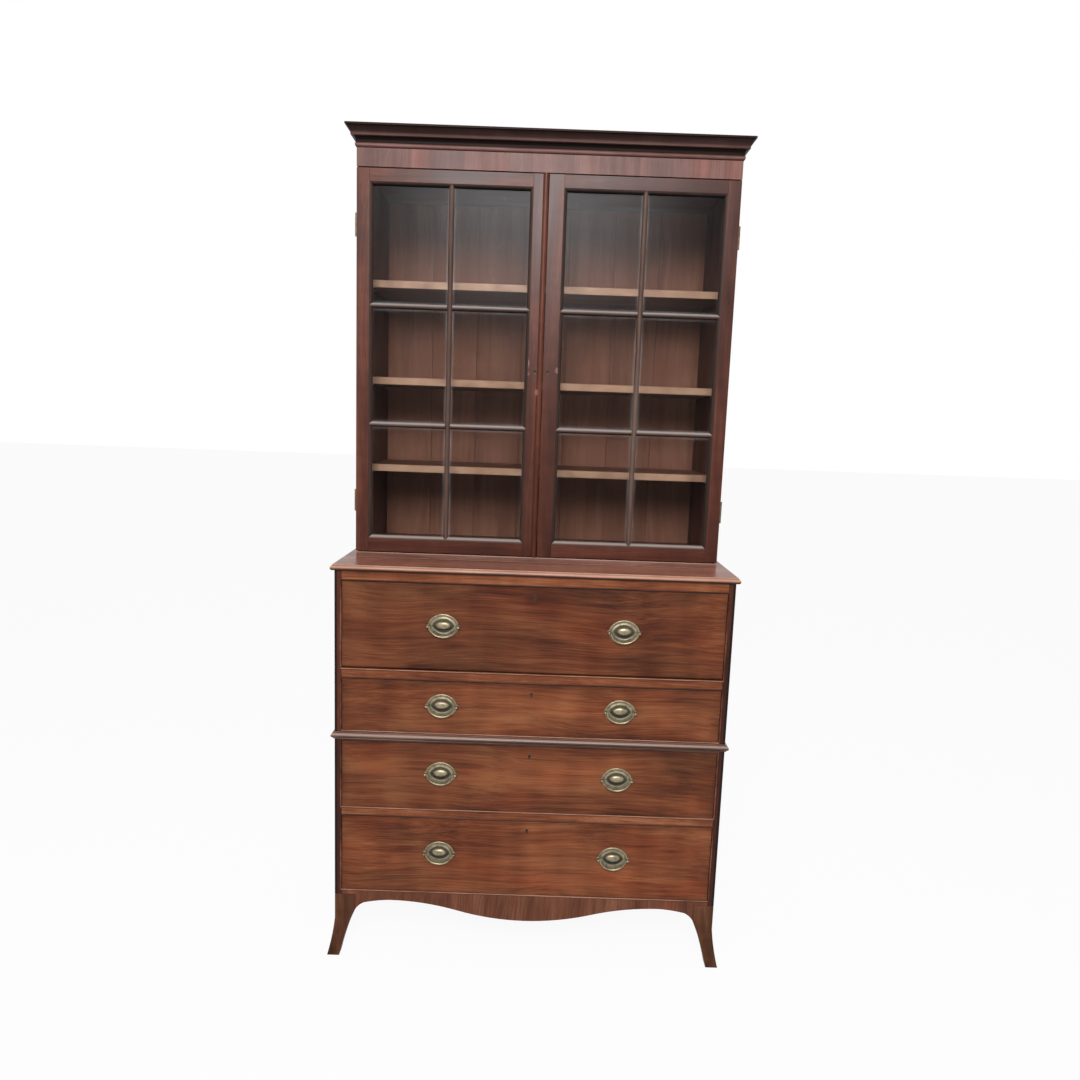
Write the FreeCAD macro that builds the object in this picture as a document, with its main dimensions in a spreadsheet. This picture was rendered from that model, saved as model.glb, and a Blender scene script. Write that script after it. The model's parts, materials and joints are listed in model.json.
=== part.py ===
import FreeCAD, Part
import os
import re
import Sketcher

# A secretaire bookcase: a glazed two-door bookcase standing on a chest built in two stacked parts.
# The top drawer of the chest is a secretaire with a fall front.
# Millimetres. X to the right, Y to the back, Z up from the floor. The origin is on the floor
# under the middle of the whole piece, so the front faces -Y.

SIZES = {
    # Carcase of the chest
    "carcase_width": 1070,
    "carcase_depth": 490,
    "side_thickness": 19,
    "back_thickness": 8,
    # Heights of the chest, from the floor up
    "leg_height": 177,
    "floor_board": 15,
    "lower_opening": 221,
    "lower_rail": 26,
    "middle_opening": 192,
    "lower_lid": 15.5,
    "upper_floor": 14.5,
    "upper_opening": 147,
    "upper_rail": 28,
    "fall_opening": 241,
    "top_rail": 28,
    "top_rail_depth": 60,
    "desk_top_thickness": 16,
    "desk_top_overhang": 10,
    # Trim of the chest
    "bead_width": 4,
    "bead_projection": 1.6,
    "waist_height": 19,
    "waist_reach": 9,
    "waist_drop": 9.5,
    # Feet and aprons
    "foot_size": 58,
    "foot_flare": 18,
    "foot_toe": 34,
    "foot_bend_drop": 72,
    "shoulder_drop": 45,
    "apron_thickness": 18,
    "apron_middle_drop": 65,
    "apron_arch_drop": 14.5,
    "apron_arch_inset": 98,
    "apron_corner_run": 24,
    "apron_corner_rise": 20.5,
    "side_arch_drop": 21,
    # Bookcase
    "bookcase_width": 1011,
    "bookcase_setback": 120,
    "bookcase_side": 18,
    "bookcase_board": 20,
    "foot_strip_height": 16,
    "door_gap": 2.5,
    "door_height": 1017,
    "frieze_height": 46.5,
    "cornice_height": 54,
    "cornice_reach": 26,
    "cornice_backing": 14,
    "dust_board": 10,
    "back_board_count": 7,
    "back_board_gap": 0.5,
    # Shelves and their pegs
    "shelf_thickness": 20,
    "shelf_setback": 66,
    "shelf_end_gap": 1,
    "lower_shelf_height": 1358,
    "middle_shelf_height": 1603,
    "upper_shelf_height": 1867,
    "peg_radius": 3,
    "peg_length": 16,
    "peg_inset": 40,
    # Doors
    "door_thickness": 21,
    "door_back_gap": 1,
    "meeting_gap": 1.6,
    "outer_stile": 34,
    "meeting_stile": 39.5,
    "bottom_door_rail": 36.5,
    "top_door_rail": 34,
    "meeting_bead_width": 15,
    "meeting_bead_reach": 5,
    "bar_width": 14,
    "bar_depth": 8,
    "bar_setback": 1.5,
    "fin_width": 4,
    "fin_depth": 9,
    "glass_thickness": 2.5,
    "pane_rows": 3,
    # Door hinges
    "hinge_height": 60,
    "hinge_inset": 110,
    "leaf_width": 15,
    "leaf_thickness": 1.2,
    "knuckle_radius": 4,
    "knuckle_gap": 0.3,
    "hinge_pin_radius": 1.5,
    "running_clearance": 0.06,
    # Drawers
    "drawer_gap": 1,
    "drawer_side_gap": 1.5,
    "front_thickness": 20,
    "drawer_side": 11,
    "drawer_back": 10,
    "drawer_bottom": 7,
    "drawer_bottom_lift": 6,
    "drawer_top_drop": 4,
    "runner_clearance": 0.3,
    "drawer_stop": 4,
    # Locks and keyholes
    "lock_width": 56,
    "lock_height": 38,
    "lock_depth": 12,
    "door_lock_width": 22,
    "door_lock_height": 56,
    "door_keyhole_height": 1647,
    "left_door_backset": 20.2,
    "right_door_backset": 12.2,
    "key_radius": 2.4,
    "key_slot_width": 2.4,
    "key_slot_length": 7,
    "key_drop": 26,
    # Secretaire drawer
    "fall_thickness": 20,
    "fall_clearance": 0.5,
    "writing_base": 12,
    "arm_thickness": 3,
    "arm_radius": 5,
    "arm_length": 60,
    "mortise_clearance": 0.5,
    "pivot_radius": 2.5,
    "pivot_grip": 9,
    "stay_radius": 150,
    "stay_width": 10,
    "stay_thickness": 3,
    "stay_overlap_degrees": 3,
    "stay_side_gap": 1,
    "panel_thickness": 1.5,
    "panel_side_margin": 70,
    "panel_end_margin": 30,
    "panel_lock_margin": 62,
    "interior_depth": 190,
    "interior_height": 214,
    "interior_board": 6,
    "divider": 4,
    "small_front_height": 72,
    "small_drawer_count": 4,
    "hole_count": 8,
    "small_gap": 0.8,
    "small_front": 8,
    "small_wall": 5,
    "small_bottom": 4,
    "knob_radius": 7,
    "knob_neck_radius": 3,
    "knob_neck": 6,
    # Brass handles
    "handle_spread": 243,
    "fall_handle_lift": 5,
    "upper_drawer_handle_lift": 4,
    "middle_drawer_handle_lift": 9,
    "lower_drawer_handle_lift": 8,
    "plate_width": 88,
    "plate_height": 70,
    "plate_thickness": 1.5,
    "ring_width": 64,
    "ring_height": 44,
    "ring_band": 4,
    "ring_rise": 1.5,
    "boss_width": 46,
    "boss_height": 26,
    "boss_rise": 7,
    "post_spread": 82,
    "post_radius": 4,
    "post_length": 13.5,
    "bail_offset": 8.5,
    "bail_half_width": 34,
    "bail_drop": 29,
    "bail_radius": 2.6,
    "bail_pin_radius": 1.5,
    "bail_pin_length": 6,
    "bail_pin_end_gap": 0.3,
    # How far a cutting tool runs past what it cuts
    "overrun": 5,
}

# Outlines in shares of the piece's own reach and height: out, up, and for an arc a point that it
# passes through. Mouldings start and end at the wall line.
CORNICE_SHARES = [
    (0.0, 0.0),
    (0.0, 0.25, 0.16, 0.125),
    (0.08, 0.25),
    (0.08, 0.28),
    (0.44, 0.5, 0.19, 0.44),
    (0.52, 0.5),
    (0.52, 0.62),
    (0.9, 0.91, 0.69, 0.79),
    (1.0, 0.91),
    (1.0, 1.0),
]
WAIST_SHARES = [
    (0.0, 0.0),
    (0.4, 0.0),
    (0.4, 0.16),
    (0.4, 0.84, 1.0, 0.5),
    (0.4, 1.0),
    (0.0, 1.0),
]
NOSING_SHARES = [
    (0.55, 0.0),
    (0.55, 0.8, 1.0, 0.4),
    (0.4, 1.0, 0.52, 0.93),
]
# Where the arcs of the feet and aprons pass, in shares of each arc's own width and height.
FLARE_VIA_SHARES = (0.37, 0.5)
FOOT_INNER_VIA_SHARES = (0.49, 0.39)
CORNER_VIA_SHARES = (0.45, 0.6)
OGEE_VIA_SHARE = 0.125
SHOULDER_VIA_SHARE = 0.32
# The flat of a knob and the straight edge of a glazing bar, in shares of their own size.
KNOB_FLAT_SHARE = 0.6
BAR_EDGE_SHARE = 0.7

doc = FreeCAD.newDocument("secretaire_bookcase")
sheet = doc.addObject("Spreadsheet::Sheet", "dims")
for row, (size_name, size) in enumerate(SIZES.items(), 1):
    sheet.set(f"A{row}", size_name)
    sheet.set(f"B{row}", str(size))
    sheet.setAlias(f"B{row}", size_name)
doc.recompute()

parts = []


# Helpers that bind shapes to the sheet

def bound(text):
    """The same sum with each named size read from the sheet."""
    def read(word):
        return "dims." + word.group() if word.group() in SIZES else word.group()
    return re.sub(r"[a-z_]+", read, text)


def value(text):
    """What the sum comes to now."""
    result = sheet.evalExpression(bound(text))
    return float(getattr(result, "Value", result))


def bind(thing, prop, text):
    thing.setExpression(prop, bound(text))


def place(thing, x, y, z):
    """Sets a thing's place from sums of named sizes."""
    bind(thing, "Placement.Base.x", x)
    bind(thing, "Placement.Base.y", y)
    bind(thing, "Placement.Base.z", z)


def turn(thing, axis, degrees):
    thing.Placement = FreeCAD.Placement(FreeCAD.Vector(), FreeCAD.Rotation(FreeCAD.Vector(*axis), degrees))


def board(name, x, y, z):
    """A squared board between two planes each way."""
    box = doc.addObject("Part::Box", name)
    bind(box, "Length", f"({x[1]}) - ({x[0]})")
    bind(box, "Width", f"({y[1]}) - ({y[0]})")
    bind(box, "Height", f"({z[1]}) - ({z[0]})")
    place(box, x[0], y[0], z[0])
    return box


def rod(name, radius, length, start, along):
    """A round rod from its start point along X, Y, -Y or Z."""
    cylinder = doc.addObject("Part::Cylinder", name)
    bind(cylinder, "Radius", radius)
    bind(cylinder, "Height", length)
    turns = {"X": ((0, 1, 0), 90), "Y": ((1, 0, 0), -90), "-Y": ((1, 0, 0), 90), "Z": ((0, 0, 1), 0)}
    turn(cylinder, *turns[along])
    place(cylinder, *start)
    return cylinder


def outline(body, plane, corners):
    """A closed sketch on one of the body's origin planes. A corner is (x, y), or (x, y, via x, via y)
    where an arc through the via point leads to it."""
    sketch = body.newObject("Sketcher::SketchObject", body.Name + "_outline")
    origin_plane = [item for item in body.Origin.OriginFeatures if item.Role == plane][0]
    sketch.AttachmentSupport = [(origin_plane, "")]
    sketch.MapMode = "FlatFace"
    points = [FreeCAD.Vector(value(corner[0]), value(corner[1]), 0) for corner in corners]
    edges = []
    for index, corner in enumerate(corners):
        start, end = points[index - 1], points[index]
        if len(corner) == 4:
            via = FreeCAD.Vector(value(corner[2]), value(corner[3]), 0)
            arc = Part.Arc(start, via, end)
            edge = sketch.addGeometry(arc, False)
            turns_left = (via - start).cross(end - via).z > 0
            ends = (1, 2) if turns_left else (2, 1)
            mark = sketch.addGeometry(Part.Point(via), True)
            sketch.addConstraint(Sketcher.Constraint("PointOnObject", mark, 1, edge))
            pin(sketch, mark, 1, corner[2], corner[3])
        else:
            edge = sketch.addGeometry(Part.LineSegment(start, end), False)
            ends = (1, 2)
        edges.append((edge, ends))
    for index, (edge, ends) in enumerate(edges):
        following, following_ends = edges[(index + 1) % len(edges)]
        sketch.addConstraint(Sketcher.Constraint("Coincident", edge, ends[1], following, following_ends[0]))
        pin(sketch, edge, ends[1], corners[index][0], corners[index][1])
    return sketch


def pin(sketch, geometry, point, x, y):
    """Holds one point of a sketch at two sums of named sizes."""
    across = sketch.addConstraint(Sketcher.Constraint("DistanceX", -1, 1, geometry, point, value(x)))
    sketch.setExpression(f"Constraints[{across}]", bound(x))
    up = sketch.addConstraint(Sketcher.Constraint("DistanceY", -1, 1, geometry, point, value(y)))
    sketch.setExpression(f"Constraints[{up}]", bound(y))


def prism(name, plane, corners, length, at):
    """A body padded from an outline: XZ outlines run to the back, YZ to the right, XY up."""
    body = doc.addObject("PartDesign::Body", name)
    sketch = outline(body, plane, corners)
    pad = body.newObject("PartDesign::Pad", name + "_pad")
    pad.Profile = sketch
    bind(pad, "Length", length)
    pad.Reversed = plane == "XZ_Plane"
    place(body, *at)
    return body


def cut(name, base, *tools):
    """What is left of the base without the tools."""
    tool = tools[0]
    if len(tools) > 1:
        tool = doc.addObject("Part::MultiFuse", name + "_tools")
        tool.Shapes = list(tools)
    result = doc.addObject("Part::Cut", name)
    result.Base = base
    result.Tool = tool
    return result


def fuse(name, *things):
    result = doc.addObject("Part::MultiFuse", name)
    result.Shapes = list(things)
    return result


def common(name, one, other):
    result = doc.addObject("Part::Common", name)
    result.Base = one
    result.Tool = other
    return result


def finish(label, *things):
    """Names a sub-part. Separate solids of one kind share it as a group."""
    thing = things[0]
    if len(things) > 1:
        thing = doc.addObject("Part::Compound", label + "_group")
        thing.Links = list(things)
    thing.Label = label
    parts.append(thing)
    return thing


# Planes and heights that the pieces share

FRONT = "(-(carcase_depth - foot_flare) / 2)"
BACK = "((carcase_depth + foot_flare) / 2)"
PANEL_FRONT = f"({BACK} - back_thickness)"
HALF = "(carcase_width / 2)"
INSIDE = "(carcase_width / 2 - side_thickness)"

CASE_FLOOR = "(leg_height + floor_board)"
LOWER_TOP = f"({CASE_FLOOR} + lower_opening)"
MIDDLE_FLOOR = f"({LOWER_TOP} + lower_rail)"
MIDDLE_TOP = f"({MIDDLE_FLOOR} + middle_opening)"
JOINT = f"({MIDDLE_TOP} + lower_lid)"
UPPER_FLOOR = f"({JOINT} + upper_floor)"
UPPER_TOP = f"({UPPER_FLOOR} + upper_opening)"
FALL_FLOOR = f"({UPPER_TOP} + upper_rail)"
FALL_TOP = f"({FALL_FLOOR} + fall_opening)"
CHEST_TOP = f"({FALL_TOP} + top_rail)"
DESK = f"({CHEST_TOP} + desk_top_thickness)"

DOOR_FACE = f"({FRONT} + bookcase_setback)"
DOOR_BACK = f"({DOOR_FACE} + door_thickness)"
CASE_FRONT = f"({DOOR_BACK} + door_back_gap)"
BOOK_HALF = "(bookcase_width / 2)"
BOOK_INSIDE = "(bookcase_width / 2 - bookcase_side)"
DOOR_FOOT = f"({DESK} + foot_strip_height + door_gap)"
DOOR_TOP = f"({DOOR_FOOT} + door_height)"
BOOK_TOP = f"({DOOR_TOP} + door_gap)"
CORNICE_FOOT = f"({BOOK_TOP} + frieze_height)"

SIDES = [("left", -1), ("right", 1)]


def spread(side, near, far):
    """A stretch of X on one side of the middle, from near to far, in rising order."""
    if side > 0:
        return near, far
    return f"-({far})", f"-({near})"


# Feet and aprons, whose shaped edges are measured down from the case

FOOT_BEND = "(leg_height - foot_bend_drop)"
SHOULDER = "(leg_height - shoulder_drop)"
APRON_MIDDLE = "(leg_height - apron_middle_drop)"
APRON_ARCH = "(leg_height - apron_arch_drop)"
SIDE_ARCH = "(leg_height - side_arch_drop)"


def flared_outline(out):
    """A foot that curves outwards to its toe, out being the sign of outwards."""
    flare_x, flare_z = FLARE_VIA_SHARES
    inner_x, inner_z = FOOT_INNER_VIA_SHARES
    return [
        ("0", "leg_height"),
        ("0", FOOT_BEND),
        (f"{out} * foot_flare", "0", f"{out} * foot_flare * {flare_x}", f"{FOOT_BEND} * {flare_z}"),
        (f"{out} * (foot_flare - foot_toe)", "0"),
        (f"-{out} * foot_size", SHOULDER, f"-{out} * foot_size * {inner_x}", f"{SHOULDER} * {inner_z}"),
        (f"-{out} * foot_size", "leg_height"),
    ]


def straight_outline():
    """The side view of a back foot, which stands flush with the back."""
    return [
        ("0", "leg_height"),
        ("0", "0"),
        ("-foot_toe", "0"),
        ("-foot_size", SHOULDER, "-(foot_toe + foot_size) / 2", f"{SHOULDER} * {FOOT_INNER_VIA_SHARES[1]}"),
        ("-foot_size", "leg_height"),
    ]


def foot(name, side, at_back):
    """A splayed bracket foot: its outline from the front crossed with its outline from the side."""
    deep = "foot_size + foot_flare"
    across = prism(name + "_front_view", "XZ_Plane", flared_outline(side), deep,
                   (f"{side} * {HALF}", f"{BACK} - ({deep})" if at_back else f"{FRONT} - foot_flare", "0"))
    side_line = straight_outline() if at_back else flared_outline(-1)
    x = f"{HALF} - foot_size" if side > 0 else f"-{HALF} - foot_flare"
    along = prism(name + "_side_view", "YZ_Plane", side_line, deep, (x, BACK if at_back else FRONT, "0"))
    return common(name, across, along)


def front_apron():
    """Shaped board between the front feet, with an arch each side of a falling middle."""
    between = f"({HALF} - foot_size)"
    arch_x = f"({between} - apron_arch_inset)"
    turn_x = f"({arch_x} / 2)"
    turn_z = f"(({APRON_MIDDLE} + {APRON_ARCH}) / 2)"
    rise = f"(({APRON_ARCH} - {APRON_MIDDLE}) * {OGEE_VIA_SHARE})"
    low_via = (f"{turn_x} / 2", f"{APRON_MIDDLE} + {rise}")
    high_via = (f"({arch_x} + {turn_x}) / 2", f"{APRON_ARCH} - {rise}")
    corner_x = f"({between} - apron_corner_run)"
    corner_z = f"({SHOULDER} + apron_corner_rise)"
    near_via = (f"({arch_x} + {corner_x}) / 2",
                f"{APRON_ARCH} - ({APRON_ARCH} - {corner_z}) * {SHOULDER_VIA_SHARE}")
    bend_via = (f"{between} - apron_corner_run * {CORNER_VIA_SHARES[0]}",
                f"{SHOULDER} + apron_corner_rise * {CORNER_VIA_SHARES[1]}")
    right = [
        (turn_x, turn_z) + low_via,
        (arch_x, APRON_ARCH) + high_via,
        (corner_x, corner_z) + near_via,
        (between, SHOULDER) + bend_via,
    ]
    left = [
        (f"-{corner_x}", corner_z, f"-({bend_via[0]})", bend_via[1]),
        (f"-{arch_x}", APRON_ARCH, f"-({near_via[0]})", near_via[1]),
        (f"-{turn_x}", turn_z, f"-({high_via[0]})", high_via[1]),
        ("0", APRON_MIDDLE, f"-({low_via[0]})", low_via[1]),
    ]
    top = [
        (between, "leg_height"),
        (INSIDE, "leg_height"),
        (INSIDE, CASE_FLOOR),
        (f"-{INSIDE}", CASE_FLOOR),
        (f"-{INSIDE}", "leg_height"),
        (f"-{between}", "leg_height"),
        (f"-{between}", SHOULDER),
    ]
    finish("front_apron", prism("front_apron", "XZ_Plane", right + top + left, "apron_thickness",
                                ("0", FRONT, "0")))


def side_apron(name, side):
    """Shaped board between a front and a back foot."""
    length = f"({BACK} - {FRONT} - 2 * foot_size)"
    bend = f"apron_corner_run * {CORNER_VIA_SHARES[0]}"
    bend_z = f"{SHOULDER} + ({SIDE_ARCH} - {SHOULDER}) * {CORNER_VIA_SHARES[1]}"
    corners = [
        ("0", "leg_height"),
        ("0", SHOULDER),
        ("apron_corner_run", SIDE_ARCH, bend, bend_z),
        (f"{length} - apron_corner_run", SIDE_ARCH),
        (length, SHOULDER, f"{length} - {bend}", bend_z),
        (length, "leg_height"),
    ]
    x = f"{HALF} - apron_thickness" if side > 0 else f"-{HALF}"
    return prism(name, "YZ_Plane", corners, "apron_thickness", (x, f"{FRONT} + foot_size", "0"))


def base():
    finish("feet", *[foot(f"{where}_{word}_foot", side, where == "back")
                     for where in ("front", "back") for word, side in SIDES])
    front_apron()
    finish("side_aprons", *[side_apron(word + "_apron", side) for word, side in SIDES])


# Chest carcases

def chest(label, foot_z, top_z):
    """The two sides and the back of one part of the chest."""
    sides = [board(f"{label}_{word}_side", spread(side, INSIDE, HALF), (FRONT, BACK), (foot_z, top_z))
             for word, side in SIDES]
    finish(label + "_sides", *sides)
    finish(label + "_back", board(label + "_back", (f"-{INSIDE}", INSIDE), (PANEL_FRONT, BACK),
                                  (foot_z, top_z)))


def full_board(name, z_low, z_high, y_low=FRONT, y_high=PANEL_FRONT):
    return board(name, (f"-{INSIDE}", INSIDE), (y_low, y_high), (z_low, z_high))


def bead_frame(name, low, high):
    """Four narrow beads round one opening, on the front edges of the carcase."""
    face = (f"{FRONT} - bead_projection", FRONT)
    strips = [
        board(name + "_foot", (f"-{INSIDE} - bead_width", f"{INSIDE} + bead_width"), face,
              (f"{low} - bead_width", low)),
        board(name + "_head", (f"-{INSIDE} - bead_width", f"{INSIDE} + bead_width"), face,
              (high, f"{high} + bead_width")),
    ]
    for word, side in SIDES:
        strips.append(board(f"{name}_{word}", spread(side, INSIDE, f"{INSIDE} + bead_width"), face,
                            (low, high)))
    return strips


def carcases():
    chest("lower_chest", "leg_height", JOINT)
    finish("lower_chest_boards",
           full_board("case_floor", "leg_height", CASE_FLOOR, f"{FRONT} + apron_thickness"),
           full_board("lower_rail", LOWER_TOP, MIDDLE_FLOOR),
           full_board("lower_lid", MIDDLE_TOP, JOINT))
    finish("lower_chest_beading", *bead_frame("lower_bead", CASE_FLOOR, LOWER_TOP),
           *bead_frame("middle_bead", MIDDLE_FLOOR, MIDDLE_TOP))
    chest("upper_chest", JOINT, CHEST_TOP)
    finish("upper_chest_boards",
           full_board("upper_floor", JOINT, UPPER_FLOOR),
           full_board("upper_rail", UPPER_TOP, FALL_FLOOR),
           full_board("top_rail", FALL_TOP, CHEST_TOP, FRONT, f"{FRONT} + top_rail_depth"),
           full_board("top_back_rail", FALL_TOP, CHEST_TOP, f"{PANEL_FRONT} - top_rail_depth"))
    finish("upper_chest_beading", *bead_frame("upper_bead", UPPER_FLOOR, UPPER_TOP),
           *bead_frame("fall_bead", FALL_FLOOR, FALL_TOP))


def shaped(shares, reach, height, sign):
    """Corners of a moulding from its shares, outwards on the side that sign gives."""
    corners = []
    for share in shares:
        corner = []
        for index, number in enumerate(share):
            corner.append(f"{sign} * {reach} * {number}" if index % 2 == 0 else f"{height} * {number}")
        corners.append(tuple(corner))
    return corners


def profile(shares, reach, height, backing, sign):
    """A moulding's whole section: its face, and where it has a backing the flat behind the wall line."""
    corners = shaped(shares, reach, height, sign)
    if backing == "0":
        return corners
    return [(f"-{sign} * {backing}", "0")] + corners + [(f"-{sign} * {backing}", height)]


def moulding(label, shares, reach, height, backing, half, front, foot_z):
    """A moulding along the front and both sides, mitred at the front corners."""
    tall = f"{height} + 2 * overrun"
    low = f"{foot_z} - overrun"
    inside = f"({backing} + overrun)"
    run = prism(label + "_front_run", "YZ_Plane", profile(shares, reach, height, backing, -1),
                f"2 * ({half} + {reach})", (f"-{half} - {reach}", front, foot_z))
    mitres = []
    returns = []
    for word, side in SIDES:
        wedge = [
            (f"{side} * overrun", f"-{reach} - overrun"),
            (f"-{side} * ({reach} + {inside})", inside),
            (f"{side} * overrun", inside),
        ]
        mitres.append(prism(f"{label}_{word}_front_mitre", "XY_Plane", wedge, tall,
                            (f"{side} * ({half} + {reach})", front, low)))
        wedge = [
            (f"{side} * ({reach} + overrun)", "-overrun"),
            (f"-{side} * {inside}", f"{reach} + {inside}"),
            (f"-{side} * {inside}", "-overrun"),
        ]
        corner = (f"{side} * {half}", f"{front} - {reach}")
        mitre = prism(f"{label}_{word}_mitre", "XY_Plane", wedge, tall, corner + (low,))
        side_run = prism(f"{label}_{word}_run", "XZ_Plane", profile(shares, reach, height, backing, side),
                         f"{BACK} - {front} + {reach}", corner + (foot_z,))
        returns.append(cut(f"{label}_{word}", side_run, mitre))
    finish(label, cut(label + "_front", run, *mitres), *returns)


def desk_top():
    """The lid of the chest, nosed on the front and both sides."""
    foot_edge, round_edge, top_edge = shaped(NOSING_SHARES, "desk_top_overhang", "desk_top_thickness", 1)
    across = [
        (f"{HALF} + {foot_edge[0]}", foot_edge[1]),
        (f"{HALF} + {round_edge[0]}", round_edge[1], f"{HALF} + {round_edge[2]}", round_edge[3]),
        (f"{HALF} + {top_edge[0]}", top_edge[1], f"{HALF} + {top_edge[2]}", top_edge[3]),
        (f"-{HALF} - {top_edge[0]}", top_edge[1]),
        (f"-{HALF} - {round_edge[0]}", round_edge[1], f"-{HALF} - {top_edge[2]}", top_edge[3]),
        (f"-{HALF} - {foot_edge[0]}", foot_edge[1], f"-{HALF} - {round_edge[2]}", round_edge[3]),
    ]
    front_nose = shaped(NOSING_SHARES, "desk_top_overhang", "desk_top_thickness", -1)
    along = front_nose + [("carcase_depth", "desk_top_thickness"), ("carcase_depth", "0")]
    slab = prism("desk_top_across", "XZ_Plane", across, "carcase_depth + desk_top_overhang",
                 ("0", f"{FRONT} - desk_top_overhang", CHEST_TOP))
    nosed = prism("desk_top_along", "YZ_Plane", along, f"2 * ({HALF} + desk_top_overhang)",
                  (f"-{HALF} - desk_top_overhang", FRONT, CHEST_TOP))
    finish("desk_top", common("desk_top", slab, nosed))


# Bookcase

SHELVES = [("lower", "lower_shelf_height"), ("middle", "middle_shelf_height"), ("upper", "upper_shelf_height")]
SHELF_FRONT = f"({CASE_FRONT} + shelf_setback)"
SHELF_BACK = f"({PANEL_FRONT} - shelf_end_gap)"


def peg(name, side, height, y):
    start = f"{BOOK_INSIDE} - peg_length / 2" if side > 0 else f"-{BOOK_INSIDE} - peg_length / 2"
    return rod(name, "peg_radius", "peg_length", (start, y, f"{height} - peg_radius"), "X")


def pegs(prefix, side):
    """The shelf pegs of one side: two under each shelf."""
    made = []
    for shelf, height in SHELVES:
        for place_word, y in (("front", f"{SHELF_FRONT} + peg_inset"), ("back", f"{SHELF_BACK} - peg_inset")):
            made.append(peg(f"{prefix}_{shelf}_{place_word}", side, height, y))
    return made


HINGE_Y = f"({DOOR_BACK} + door_back_gap / 2)"
HINGE_X = f"({BOOK_HALF} + knuckle_radius + knuckle_gap)"
HINGES = [("bottom", f"({DOOR_FOOT} + hinge_inset)"), ("top", f"({DOOR_TOP} - hinge_inset - hinge_height)")]


def leaf_recess(name, side, z, y_low, y_high):
    return board(name, spread(side, f"{BOOK_HALF} - leaf_width", f"{BOOK_HALF} + overrun"), (y_low, y_high),
                 (z, f"{z} + hinge_height"))


def fixed_leaf(name, side, z):
    """The leaf on the case, with the two end knuckles and the pin."""
    y = (CASE_FRONT, f"{CASE_FRONT} + leaf_thickness")
    span = "hinge_height / 3 - knuckle_gap"
    solids = [board(name + "_plate", spread(side, f"{BOOK_HALF} - leaf_width", BOOK_HALF), y,
                    (z, f"{z} + hinge_height"))]
    axis_x = f"{side} * {HINGE_X}"
    for word, low in (("foot", z), ("head", f"{z} + hinge_height * 2 / 3 + knuckle_gap")):
        solids.append(board(f"{name}_{word}_tab", spread(side, BOOK_HALF, HINGE_X), y,
                            (low, f"{low} + {span}")))
        solids.append(rod(f"{name}_{word}_knuckle", "knuckle_radius", span, (axis_x, HINGE_Y, low), "Z"))
    solids.append(rod(name + "_pin", "hinge_pin_radius", "hinge_height", (axis_x, HINGE_Y, z), "Z"))
    return fuse(name, *solids)


def moving_leaf(name, side, z):
    """The leaf on the door, with the middle knuckle bored for the pin."""
    y = (f"{DOOR_BACK} - leaf_thickness", DOOR_BACK)
    low = f"({z} + hinge_height / 3)"
    axis_x = f"{side} * {HINGE_X}"
    plate = board(name + "_plate", spread(side, f"{BOOK_HALF} - leaf_width", BOOK_HALF), y,
                  (z, f"{z} + hinge_height"))
    tab = board(name + "_tab", spread(side, BOOK_HALF, HINGE_X), y, (low, f"{low} + hinge_height / 3"))
    knuckle = rod(name + "_knuckle", "knuckle_radius", "hinge_height / 3", (axis_x, HINGE_Y, low), "Z")
    bore = rod(name + "_bore", "hinge_pin_radius + running_clearance", "hinge_height",
               (axis_x, HINGE_Y, z), "Z")
    return cut(name, fuse(name + "_solid", plate, tab, knuckle), bore)


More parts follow.
